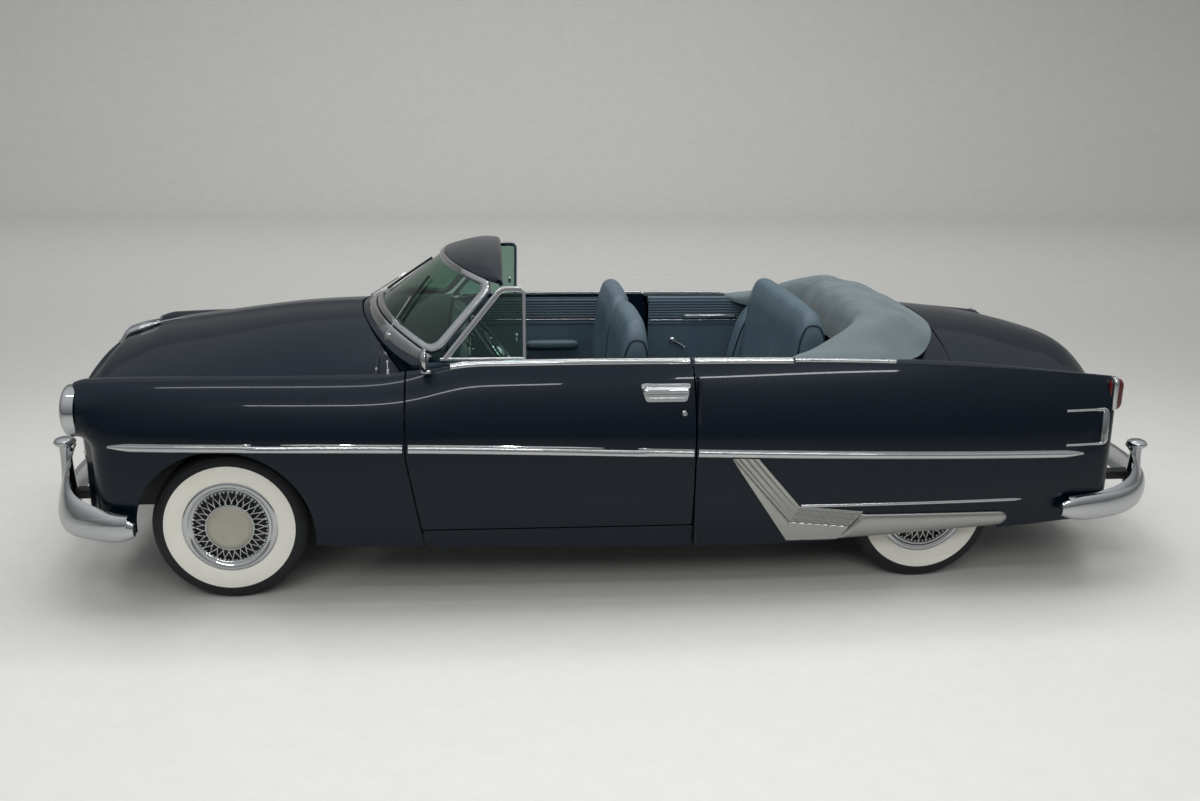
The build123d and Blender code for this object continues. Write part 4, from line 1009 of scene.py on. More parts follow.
        return -smooth_max(-body, -hood, self.hood_soft)

    def slopes(self, points: Array) -> Array:
        """The outward directions at points: unit slopes of the height, over a millimetre each way."""
        unit = np.eye(3) * 1e-3
        slope = np.stack([self.level(points + step) - self.level(points - step) for step in unit], axis=-1)
        return slope / np.maximum(np.linalg.norm(slope, axis=-1, keepdims=True), 1e-12)

    def lie(self, points: Array) -> tuple[Array, Array]:
        """Points moved onto the whole surface, nose and tail included, with the outward direction at each.

        Args:
            points: Points near the surface.

        Returns:
            The points on it, and the unit slope of its height there.
        """
        on = project(self.level, np.asarray(points, float))
        return on, self.slopes(on)

    def walled(self, shape: Shape, wall: float) -> Shape:
        """A sheet on the surface made a closed plate: its faces turned outwards, and its wall laid along
        the slopes."""
        faced = shape.facing(self.slopes(shape.centres()))
        return faced.thick(0.0, faced.points - self.slopes(faced.points) * wall)

    def laid(self, shape: Shape) -> Shape:
        """A shape whose y is its distance out from the right side, moved onto that side."""
        p = shape.points
        return Shape(join(p[:, 0], p[:, 1] + self.side(p[:, 0], p[:, 2]), p[:, 2]), shape.faces,
                     shape.looks)

    def cap(self, from_x: float, foot_z: float) -> Callable[[Array, Array], Array]:
        """The surface that closes an end: lines run on from a section, turn over the edge and meet at the
        foot.

        Args:
            from_x: Where it takes over from the sections.
            foot_z: Height of the point in the middle of the car where its lines meet.

        Returns:
            Points for the place along each line, 0 to 1, and the section's s.
        """
        plan = self.nose if from_x < self.middle_x else self.tail
        corner = 0.13
        bend = np.linspace(0, pi / 2, 9)
        away = np.concatenate([[0.0], 0.62 + 0.38 * np.sin(bend), [1.0]])
        inward = np.concatenate([[1.0], 1 - corner * (1 - np.cos(bend)), [0.0]])
        place = np.concatenate([[0.0], np.linspace(0.16, 0.42, 9), [1.0]])

        def surface(u: Array, s: Array) -> Array:
            """The nose from the section where it starts to its front end.

            Args:
                u: 0 at the section, 1 at the front end.
                s: Place round the section.

            Returns:
                Points of the nose.
            """
            start = self.section(np.full_like(s, from_x), s)
            r, f = np.interp(u, place, inward), np.interp(u, place, away)
            y = start[..., 1] * r
            z = foot_z + (start[..., 2] - foot_z) * r
            x = from_x + (through(plan, np.clip(y, 0, 1.01))[..., 0] - from_x) * f
            out = project(self.level, join(x, y, z))
            return np.where((u[..., None] <= 0) & (s[..., None] >= self.crest_foot), start, out)

        return surface


def deck_profile(y: Array, t: Array) -> Array:
    """The deck lid's surface: at each y a spline through its front, back, hip, bend, tail and foot.

    Args:
        y: Places across the car.
        t: Places along the lid, from 0 to 1.

    Returns:
        Points by t and y.
    """
    table = np.asarray(DECK_MM, float) * MM
    mirror = np.vstack([table[:0:-1] * np.array([-1, 1, 1, 1, 1, 1]), table])
    front_z, hip_x, hip_z, tail_x, tail_z = np.moveaxis(through(mirror, y), -1, 0)
    hip_x, tail_x = hip_x + AXLE_X, tail_x + AXLE_X
    front_x = np.full_like(hip_x, DECK_FRONT_X)
    xs = [front_x, (front_x + hip_x) / 2, hip_x, hip_x + 0.62 * (tail_x - hip_x), tail_x, tail_x + 0.006]
    zs = [front_z, (front_z + hip_z) / 2 + DECK_BULGE, hip_z, hip_z + 0.36 * (tail_z - hip_z), tail_z,
          np.full_like(hip_x, DECK_FOOT_Z)]
    knots = join(np.stack(xs), np.stack(zs))
    places = np.array([0.0, 0.33, 0.64, 0.78, 0.88, 1.0])
    table = np.hstack([places[:, None], knots.reshape(len(places), -1)])
    line = through(table, t).reshape(len(t), len(y), 2)
    return join(line[..., 0], np.broadcast_to(y, line.shape[:2]), line[..., 1])


def crown_z(table: Array, x: Array, y: Array) -> Array:
    """Height of a crowned panel: at each x a circle's arc through the panel's two edges and its crown.

    Args:
        table: Rows of x, half width, edge height and crown height.
        x: Places along the car.
        y: Places across it.

    Returns:
        The heights.
    """
    half, edge, top = np.moveaxis(through(table, x), -1, 0)
    rise = np.maximum(top - edge, 1e-4)
    r = (half ** 2 + rise ** 2) / (2 * rise)
    return top - r + np.sqrt(np.maximum(r * r - y * y, 0.01))


def crown(table: Array) -> Callable[[Array, Array], Array]:
    """The surface of a crowned panel, by x and by t from -1 to 1 across."""

    def surface(x: Array, t: Array) -> Array:
        """The crowned surface at x and at t from -1 to 1 across."""
        y = t * through(table, x)[..., 0]
        return join(x, y, crown_z(table, x, y))

    return surface


@dataclass
class Panels:
    """The painted outer panels: wings and nose, bonnet, cowl, doors, quarters and tail, deck lid and
    sills."""

    skin: Skin
    wall: float = 0.016
    arch_r: float = 0.386
    house_r: float = 0.388
    nose_x: float = -0.45 + AXLE_X
    tail_x: float = 3.80 + AXLE_X
    grille_half: float = 0.596
    grille_z: tuple[float, float] = (0.585, 0.800)
    bonnet_rear: tuple[float, float] = (0.530, 0.222)
    bonnet_edge: float = 0.704

    def door_front(self, gap: float) -> Callable[[Array], Array]:
        """Distance behind the door's front seam, which stands upright and then slants back, moved forward
        by a gap."""
        slant = beside(DOOR_FRONT_X - gap, DOOR_SLANT_Z, DOOR_FRONT_X - gap + DOOR_SLANT, DOOR_BOTTOM_Z)
        return lambda p: np.minimum(p[..., 0] - DOOR_FRONT_X + gap, -slant(p))

    def door_rear(self, p: Array) -> Array:
        """Distance outside the arc that the door's rear edge turns on."""
        return np.hypot(p[..., 0] - DOOR_HINGE[0], np.abs(p[..., 1]) - DOOR_HINGE[1]) - DOOR_REAR_R

    def bonnet_line(self, p: Array) -> Array:
        """Distance behind the bonnet's curved rear edge."""
        middle, bow = self.bonnet_rear
        return p[..., 0] - AXLE_X - middle - bow * (p[..., 1] / self.bonnet_edge) ** 2

    def wings(self) -> Shape:
        """Both front wings and the nose between them, with their wheel arches and the grille's opening."""
        front = self.door_front(0.008)

        def cut(p: Array) -> Array:
            """Where the wings and nose end: at the wheel arches, the grille's opening and the doors.

            Args:
                p: Points of the skin.

            Returns:
                A measure for each point, below zero inside the piece.
            """
            arch = self.arch_r - np.hypot(p[..., 0] - AXLE_X, p[..., 2] - AXLE_Z)
            low = self.grille_z[0] - p[..., 2]
            high = p[..., 2] - self.grille_z[1]
            hole = np.maximum(np.abs(p[..., 1]) - self.grille_half, np.maximum(low, high))
            hole = np.where(p[..., 0] < self.nose_x - 0.05, -hole, -1.0)
            behind_cowl = np.where(p[..., 0] > 0.64 + AXLE_X, DOOR_INNER_Y - np.abs(p[..., 1]), -1.0)
            return np.maximum.reduce([front(p), arch, hole, behind_cowl])

        s = steps((0, 0), (1, 28), (2, 24), (3, 18), (3.3, 3), (3.5, 3), (4, 5))
        side = panel(self.skin.outside, np.linspace(self.nose_x, 0.86 + AXLE_X, 92), s, cut)
        s = np.concatenate([s, np.linspace(4, 5, 12)[1:]])
        u = steps((0, 0), (0.16, 8), (0.42, 22), (0.55, 11), (1.0, 24))
        nose = panel(self.skin.cap(self.nose_x, 0.36), u, s, cut)
        return self.skin.walled((side + nose).twin().welded(), self.wall)

    def aprons(self) -> Shape:
        """Inner wing plates beside the engine, notched round the suspension."""
        x0, x1 = AXLE_X - 0.60, AXLE_X + 0.655
        plate = [(x0, 0.36), (AXLE_X - 0.17, 0.36), (AXLE_X - 0.17, 0.56), (AXLE_X + 0.17, 0.56),
                 (AXLE_X + 0.17, 0.36), (x1, 0.30), (x1, 0.955), (AXLE_X, 0.94), (x0, 0.89)]
        return prism(plate, 0.440, 0.452).twin()

    def bonnet(self) -> Shape:
        """The bonnet: a crowned plate, round over its nose, with a raised rib along its middle."""
        shape = crown(self.skin.bonnet)

        def ribbed(x: Array, t: Array) -> Array:
            """The bonnet with a low rib along its middle, which fades towards the front.

            Args:
                x: Place along the car.
                t: Place across, from -1 to 1.

            Returns:
                Points of the bonnet.
            """
            p = shape(x, t)
            fade = np.clip((x - AXLE_X + 0.55) / 0.3, 0, 1)
            return p + join(0 * x, 0 * x, 0.008 * fade * np.exp(-(p[..., 1] / 0.05) ** 2))

        x = np.concatenate([self.skin.bonnet[0, 0] + 0.022 * np.linspace(0, 1, 10) ** 2,
                            np.linspace(-0.635, 0.80, 80) + AXLE_X])
        t = np.sin(np.linspace(-1, 1, 81) * pi / 2 * 0.8) / sin(pi / 2 * 0.8)
        return panel(ribbed, x, t, self.bonnet_line).thick(0.018)

    def cowl(self) -> Shape:
        """The cowl between the bonnet and the screen, with the firewall below it."""
        x = np.linspace(0.50, 0.952, 34) + AXLE_X
        top = panel(crown(in_frame(COWL_MM)), x, np.linspace(-1, 1, 70),
                    lambda p: SEAM - self.bonnet_line(p))
        drop = top.points - np.array([0, 0, 0.062])
        wall = prism([(-0.44, 0.25), (0.44, 0.25), (0.44, 0.5), (0.78, 0.5), (0.78, 0.98), (0.60, 1.08),
                      (0, 1.17), (-0.60, 1.08), (-0.78, 0.98), (-0.78, 0.5), (-0.44, 0.5)], AXLE_X + 0.642,
                     AXLE_X + 0.654, "yz")
        return top.thick(0.0, drop) + wall

    def door(self) -> Shape:
        """The right door: its outer panel closed by a flat inner one."""
        front = self.door_front(0.0)

        def cut(p: Array) -> Array:
            """Where the door ends: below zero inside it."""
            return np.maximum.reduce([-front(p), self.door_rear(p), DOOR_BOTTOM_Z - p[..., 2],
                                      DOOR_INNER_Y + 0.004 - p[..., 1]])

        x = np.linspace(0.770, 2.045, 92) + AXLE_X
        outer = panel(self.skin.section, x, steps((0, 0), (1, 30), (2, 26), (2.6, 11)), cut)
        return outer.backed(np.minimum(outer.points[:, 1] - 0.004, DOOR_INNER_Y))

    def quarters(self) -> Shape:
        """Both quarters and the tail panel, open for the cabin, the deck lid and the skirts."""
        hinge_gap = 0.008

        def cut(p: Array) -> Array:
            """Where the quarters end: at the doors, at the opening of cabin and lid, and at the wheels.

            Args:
                p: Points of the skin.

            Returns:
                A measure for each point, below zero inside the piece.
            """
            x, y, z = p[..., 0], np.abs(p[..., 1]), p[..., 2]
            cabin = np.where(x < CABIN_REAR_X, 0.770 - y, 0.637 - y)
            cabin = np.where(z > DECK_FOOT_Z - 0.006, cabin, -1.0)
            cabin = np.where(x > self.tail_x + 0.05, np.minimum(cabin, z - DECK_FOOT_Z + 0.006), cabin)
            wheel = np.minimum.reduce([beside(2.706 + AXLE_X, 0.262, 2.812 + AXLE_X, 0.388)(p),
                                       0.383 - 0.015 * (x - 2.80 - AXLE_X) - z, 3.470 + AXLE_X - x,
                                       y - 0.80])
            jamb = np.where(z > DOOR_BOTTOM_Z - SEAM, hinge_gap - self.door_rear(p), 2.036 + AXLE_X - x)
            return np.maximum.reduce([cabin, wheel, jamb])

        s = steps((0, 0), (1, 28), (2, 24), (3, 18), (4, 8))
        side = panel(self.skin.outside, np.linspace(2.025 + AXLE_X, self.tail_x, 122), s, cut)
        s = np.concatenate([s, np.linspace(4, 5, 10)[1:]])
        u = steps((0, 0), (0.16, 9), (0.42, 18), (1.0, 40))
        tail = panel(self.skin.cap(self.tail_x, 0.36), u, s, cut)
        return self.skin.walled((side + tail).twin().welded(), self.wall)

    def rear_inside(self) -> Shape:
        """Tonneau panel, door jambs, wheel housings and the deck lid's hinge ears."""
        x = np.linspace(3.04, 3.281, 14) + AXLE_X
        tonneau = grid(crown(in_frame(TONNEAU_MM))(*np.meshgrid(x, np.linspace(-1, 1, 60), indexing="ij")))
        made = tonneau.thick(0.016)
        turn = np.linspace(-0.148, 0.006, 14)
        reach = DOOR_REAR_R + 0.010
        height = np.linspace(0.262, 1.02, 3)
        turn, height = np.meshgrid(turn, height, indexing="ij")
        jamb_x, jamb_y = DOOR_HINGE[0] + reach * np.cos(turn), DOOR_HINGE[1] + reach * np.sin(turn) - 0.010
        jamb = grid(join(jamb_x, jamb_y, height))
        jamb = jamb.thick(0.0, jamb.points + np.array([0.012, 0, 0]))
        angle = np.linspace(0.12 * pi, 0.88 * pi, 40)
        y = np.linspace(0.572, 0.900, 3)
        angle, y = np.meshgrid(angle, y, indexing="ij")
        r = self.house_r
        house = grid(join(REAR_AXLE_X + r * np.cos(angle), y, AXLE_Z + r * np.sin(angle))).thick(0.005)
        arc = np.linspace(0, pi, 30)
        rim = join(REAR_AXLE_X + r * np.cos(arc), AXLE_Z + 0.05 + (r - 0.05) * np.sin(arc))
        disc = prism(rim, 0.566, 0.574)
        ears = box((3.046 + AXLE_X, 0.202, 1.082), (3.078 + AXLE_X, 0.210, 1.150))
        ears = ears + box((3.046 + AXLE_X, 0.230, 1.082), (3.078 + AXLE_X, 0.238, 1.150))
        pin = bar((3.062 + AXLE_X, 0.202, 1.096), (3.062 + AXLE_X, 0.238, 1.096), 0.008)
        return made + (jamb + house + disc + ears + pin).twin()

    def deck(self) -> Shape:
        """The deck lid with its two curved hinge arms."""
        y = np.sin(np.linspace(-1, 1, 61) * 1.25) / sin(1.25) * 0.629
        sheet = grid(deck_profile(y, np.concatenate([np.linspace(0, 0.6, 28), np.linspace(0.61, 1, 32)])))
        arm = np.linspace(radians(-66), radians(9), 24)
        hinge_x, hinge_z = 3.062 + AXLE_X, 1.096
        path = join(hinge_x + 0.25 * np.cos(arm), np.full(24, 0.22), hinge_z + 0.25 * np.sin(arm))
        start = np.linspace([hinge_x, 0.22, hinge_z], path[0], 6)[:-1]
        square = np.array([[-0.009, -0.009], [0.009, -0.009], [0.009, 0.009], [-0.009, 0.009]])
        arms = sweep(np.vstack([start, path]), square, [0, 1, 0])
        eye = lathe([(-0.009, 0.0082), (0.009, 0.0082), (0.009, 0.017), (-0.009, 0.017)],
                    (hinge_x, 0.22, hinge_z), (0, 1, 0), 24)
        return sheet.thick(0.018) + (arms + eye).twin().look(1)

    def sill(self) -> Shape:
        """The right sill under the door, with its top turned in."""
        x = np.linspace(0.79, 2.034, 60) + AXLE_X
        front = self.door_front(0.002)

        def cut(p: Array) -> Array:
            """Where the sill ends: below zero inside it."""
            return np.maximum.reduce([-front(p), p[..., 2] - DOOR_BOTTOM_Z + SEAM])

        outer = panel(self.skin.section, x, np.linspace(0, 0.4, 13), cut)
        return outer.backed(DOOR_INNER_Y)

    def build(self) -> None:
        """Makes and reports every painted panel."""
        paint = [ENAMEL, CHASSIS]
        put("wings_and_nose", self.wings(), paint, "body", "body_paint", ["front_wings", "nose_panel"],
            bevel=0.0015)
        put("inner_wing_plates", self.aprons(), [CHASSIS], "body", "body_paint")
        put("bonnet_panel", self.bonnet(), paint, "bonnet_body", "body_paint", ["bonnet"], bevel=0.002)
        put("cowl_panel", self.cowl(), paint, "body", "body_paint", ["cowl"], bevel=0.0015)
        right = self.door()
        put("door_panel_right", right, paint, "door_right_body", "body_paint", ["door_right"], bevel=0.002)
        put("door_panel_left", right.mirrored(), paint, "door_left_body", "body_paint", ["door_left"],
            bevel=0.002)
        put("quarters_and_tail", self.quarters(), paint, "body", "body_paint", ["rear_body"], bevel=0.0015)
        put("rear_inner_panels", self.rear_inside(), paint, "body", "body_paint")
        put("deck_lid_panel", self.deck(), paint, "deck_lid_body", "body_paint", ["deck_lid"], bevel=0.002)
        put("sill_panels", self.sill().twin(), paint, "body", "body_paint", ["sills"], bevel=0.0015)


def rounded(corners: Rows, radius: float, count: int = 8) -> Array:
    """A path through corners, each inner one cut by the curve that leaves and meets its sides at the
    radius from it.

    Args:
        corners: The corners in order.
        radius: Distance from a corner at which the curve starts and ends.
        count: Points on each curve.

    Returns:
        Points of the path.
    """
    p = np.asarray(corners, float)
    middle = p[1:-1]
    before, after = p[:-2] - middle, p[2:] - middle
    long_before, long_after = (np.linalg.norm(v, axis=1, keepdims=True) for v in (before, after))
    reach = np.minimum(radius, 0.48 * np.minimum(long_before, long_after))
    before, after = middle + before / long_before * reach, middle + after / long_after * reach
    t = np.linspace(0, 1, count)[None, :, None]
    curve = before[:, None] * (1 - t) ** 2 + 2 * middle[:, None] * t * (1 - t) + after[:, None] * t ** 2
    return np.vstack([p[:1], curve.reshape(-1, p.shape[1]), p[-1:]])


def spaced(path: Array, count: int) -> Array:
    """The same path with its points at equal distances.

    Args:
        path: Points.
        count: How many points to give.

    Returns:
        The new points.
    """
    far = np.concatenate([[0.0], np.cumsum(np.linalg.norm(np.diff(path, axis=0), axis=1))])
    at = np.linspace(0, far[-1], count)
    return np.stack([np.interp(at, far, path[:, i]) for i in range(path.shape[1])], axis=1)


def smooth_ring(width: float, height: float, count: int = 16, square: float = 0.6) -> Array:
    """A profile between an ellipse and a box: cosine and sine raised to a power below one.

    Args:
        width: Across it.
        height: Out of it.
        count: Points round it.
        square: The power: 1 for an ellipse, near 0 for a box.

    Returns:
        Rows of across, out.
    """
    angle = np.linspace(0, 2 * pi, count, endpoint=False)
    c, s = np.cos(angle), np.sin(angle)
    return join(np.sign(c) * np.abs(c) ** square * width / 2, np.sign(s) * np.abs(s) ** square * height / 2)


# Side moulding: across upwards and out, in mm: a broad round band with a groove and a thin bead over it
MOULD_PROFILE_MM = [(-19, -3), (-19, 2), (-16, 5.5), (-10, 8.5), (-3, 9.5), (4, 8.5), (8, 5.5), (9.5, 2.5),
                    (11, 2.5), (12.5, 5), (15, 6.2), (18, 5), (19, 2), (19, -3)]
VENT_MM = [(950, 800, 1082), (1196, 722, 1376), (1295, 722, 1376), (1295, 800, 1082)]


@dataclass
class SideTrim:
    """Bright mouldings, belt strips, door handles, vent frames, tail frames, shields and skirts."""

    skin: Skin

    def moulding(self, start: float, end: float, pointed: int = 0) -> Shape:
        """A length of the right side's moulding.

        Args:
            start: Its front end, from the front axle.
            end: Its rear end.
            pointed: -1 where its front end runs to a point, 1 where its rear end does.

        Returns:
            The closed strip.
        """
        x = np.linspace(start, end, 72) + AXLE_X
        path, out = self.skin.lie(self.skin.side_points(x, through(in_frame(MOULD_MM), x)[..., 0]))
        away = (x - x[0]) if pointed < 0 else (x[-1] - x)
        size = np.clip(0.1 + away / 0.10, 0, 1) ** 0.6 if pointed else np.ones(len(x))
        return sweep(path, np.asarray(MOULD_PROFILE_MM) * MM, out, join(size, 0.3 + 0.7 * size))

    def belt(self, start: float, end: float, width: float = 0.034) -> Shape:
        """The bright strip along the top of the right side.

        Args:
            start: Its front end, from the front axle.
            end: Its rear end.
            width: Across it.

        Returns:
            The closed strip.
        """
        x = np.linspace(start, end, 44) + AXLE_X
        path = self.skin.section(x, np.full_like(x, 2.05))
        return sweep(path, half_round(width, 0.011, 11, 0.004), [0, 0.6, 0.8])

    def handle(self) -> Shape:
        """The right door's handle: a domed plate with a grip and a ribbed lower edge, and the lock's
        button."""
        edge = rounded([(1.900, 0.994), (2.014, 0.994), (1.992, 0.922), (1.813, 0.922), (1.791, 0.994),
                        (1.900, 0.994)], 0.014, 6)
        plate = prism(edge[:-1] + np.array([AXLE_X, 0]), -0.004, 0.006)
        rim = prism((edge[:-1] - np.array([1.9025, 0.958])) * 0.9 + np.array([1.9025 + AXLE_X, 0.958]),
                    0.004, 0.009)
        grip = pillow((1.9025 + AXLE_X, 0.032, 0.974), (0.102, 0.010, 0.013), (0.020, 0.010, 0.012), 24)
        feet = pillow((1.812 + AXLE_X, 0.016, 0.974), (0.013, 0.018, 0.011), 0.009, 16)
        feet = feet + pillow((1.993 + AXLE_X, 0.016, 0.974), (0.013, 0.018, 0.011), 0.009, 16)
        made = plate + rim + grip + feet
        for x in np.linspace(1.833, 1.972, 15):
            made = made + pillow((x + AXLE_X, 0.009, 0.938), (0.0028, 0.006, 0.011), 0.0027, 8)
        button = lathe([(-0.004, 0), (-0.004, 0.012), (0.003, 0.012), (0.006, 0.009), (0.006, 0)],
                       (1.982 + AXLE_X, 0, 0.874), (0, 1, 0), 28)
        return self.skin.laid(made + button)

    def vent(self) -> Shape:
        """The right door's vent frame: a slanted front bar, a short top and an upright post."""
        corners = from_axle(VENT_MM)
        path = spaced(rounded(np.vstack([corners, corners[3:] - [0, 0, 0.012]]), 0.028, 10), 90)
        lean = np.array([0.0, 0.967, 0.256])
        width = np.where(path[:, 0] < corners[2, 0] - 0.008, 1.25, 0.8)
        bars = sweep(path, smooth_ring(0.020, 0.015), lean, join(width, np.ones(90)))
        low = sweep(np.linspace(corners[0] + [-0.02, 0, 0.002], corners[3] + [0.004, 0, 0.002], 6),
                    smooth_ring(0.014, 0.014), lean)
        catch = pillow((1.262 + AXLE_X, 0.760, 1.17), (0.008, 0.012, 0.018), 0.007, 12)
        return bars + low + catch

    def tail_frame(self) -> Shape:
        """The bright open frame low on the right quarter's tail: two thin lines joined by a broad
        upright."""
        corners = np.array([(3.743, 0.90, 0.842), (3.946, 0.88, 0.842), (3.934, 0.88, 0.684),
                            (3.743, 0.90, 0.684)])
        path = spaced(rounded(corners + np.array([AXLE_X, 0, 0]), 0.022, 8), 120)
        path, out = self.skin.lie(path)
        upright = np.clip((0.079 - np.abs(path[:, 2] - 0.763)) / 0.012, 0, 1)
        upright = upright * (path[:, 0] > 3.90 + AXLE_X)
        wide = 1 + 1.6 * upright
        return sweep(path, half_round(0.013, 0.008, 9, 0.004), out, join(wide, np.ones(120)))

    def shield(self) -> Shape:
        """The right stone shield: three grooves follow its inner edge, each a wave of the distance from
        that edge."""
        front = beside(2.468 + AXLE_X, 0.262, 2.187 + AXLE_X, 0.679)
        inner = beside(2.511 + AXLE_X, 0.437, 2.316 + AXLE_X, 0.663)
        end = beside(2.700 + AXLE_X, 0.262, 2.802 + AXLE_X, 0.390)

        def top(p: Array) -> Array:
            """The sloping upper edge of the shield's foot: below zero under it."""
            return p[..., 2] - 0.437 + 0.117 * (p[..., 0] - 2.511 - AXLE_X)

        def cut(p: Array) -> Array:
            """Where the shield ends: at its slanting edges, its foot and the side moulding.

            Args:
                p: Points of the skin.

            Returns:
                A measure for each point, below zero inside the piece.
            """
            under = p[..., 2] - through(in_frame(MOULD_MM), p[..., 0])[..., 0] + 0.021
            return np.maximum.reduce([-front(p), np.minimum(inner(p), top(p)), end(p), 0.264 - p[..., 2],
                                      under])

        def surface(z: Array, x: Array) -> Array:
            """The grooved face of the shield.

            Args:
                z: Height.
                x: Place along the car.

            Returns:
                Points of the face.
            """
            p = join(x, 0 * x, z)
            away = -np.minimum(inner(p), top(p))
            groove = np.where(away < 0.084, 0.0028 * np.cos(2 * pi * away / 0.024), 0.0028)
            lip = 0.004 * np.clip(1 - away / 0.006, 0, 1)
            return self.skin.side_points(x, z, 0.008 + groove - lip)

        sheet = panel(surface, np.linspace(0.258, 0.690, 100), np.linspace(2.180, 2.815, 146) + AXLE_X, cut)
        return sheet.backed(self.skin.side(sheet.points[:, 0], sheet.points[:, 2]) - 0.003)

    def skirt(self) -> Shape:
        """The right skirt over the rear wheel's opening: a bulged band, round at its rear end."""

        def surface(t: Array, u: Array) -> Array:
            """The bulged face of the skirt.

            Args:
                t: 0 at its foot, 1 at its top.
                u: 0 at its front end, 1 at its rear end.

            Returns:
                Points of the face.
            """
            round_end = 1 - np.sqrt(np.maximum(1 - (2 * t - 1) ** 2, 0))
            left, right = 2.703 + 0.1 * t, 3.505 - 0.045 * round_end
            x = left + (right - left) * u + AXLE_X
            low, high = 0.264 + 0.040 * u, 0.386 - 0.011 * u
            z = low + (high - low) * t
            ends = np.clip(np.minimum(u, 1 - u) / 0.03, 0, 1) ** 0.5
            return self.skin.side_points(x, z, 0.004 + 0.018 * np.sin(pi * t) ** 0.5 * ends)

        t = 0.5 - 0.5 * np.cos(np.linspace(0, pi, 20))
        u = np.concatenate([np.linspace(0, 0.04, 7), np.linspace(0.05, 0.95, 36), np.linspace(0.96, 1, 9)])
        sheet = grid(surface(*np.meshgrid(t, u, indexing="ij")))
        return sheet.backed(self.skin.side(sheet.points[:, 0], sheet.points[:, 2]) - 0.018)

    def build(self) -> None:
        """Makes and reports the trim of both sides."""
        strip_x = np.linspace(2.518, 3.560, 60) + AXLE_X
        strip = sweep(self.skin.side_points(strip_x, np.linspace(0.436, 0.431, 60)),
                      half_round(0.016, 0.008, 9, 0.003), [0, 1, 0],
                      np.clip((strip_x[-1] - strip_x) / 0.04, 0.2, 1) ** 0.5)
        fixed = self.moulding(-0.461, 0.770, -1) + self.moulding(2.043, 3.840, 1)
        fixed = fixed + strip + self.tail_frame() + self.belt(2.036, 2.476) + self.belt(2.486, 2.946, 0.020)
        put("side_mouldings", fixed.twin(), [CHROME], "body", "bright_metal", ["side_brightwork"],
            bevel=0.0006)
        right = self.moulding(0.794, 2.023) + self.belt(0.975, 2.016) + self.handle() + self.vent()
        put("door_trim_right", right, [CHROME], "door_right_body", "bright_metal",
            ["door_brightwork_right"], bevel=0.0006)
        put("door_trim_left", right.mirrored(), [CHROME], "door_left_body", "bright_metal",
            ["door_brightwork_left"], bevel=0.0006)
        put("shield_panels", self.shield().twin(), [SATIN], "body", "satin_steel", ["stone_shields"])
        put("skirt_bands", self.skirt().twin(), [SATIN], "body", "satin_steel", ["rear_skirts"])


# Windscreen arcs at its foot and head: corner x, y, z, then the middle's x and z, in mm
SCREEN_MM = [(905, 775, 1092, 612, 1206), (1165, 690, 1388, 930, 1436)]


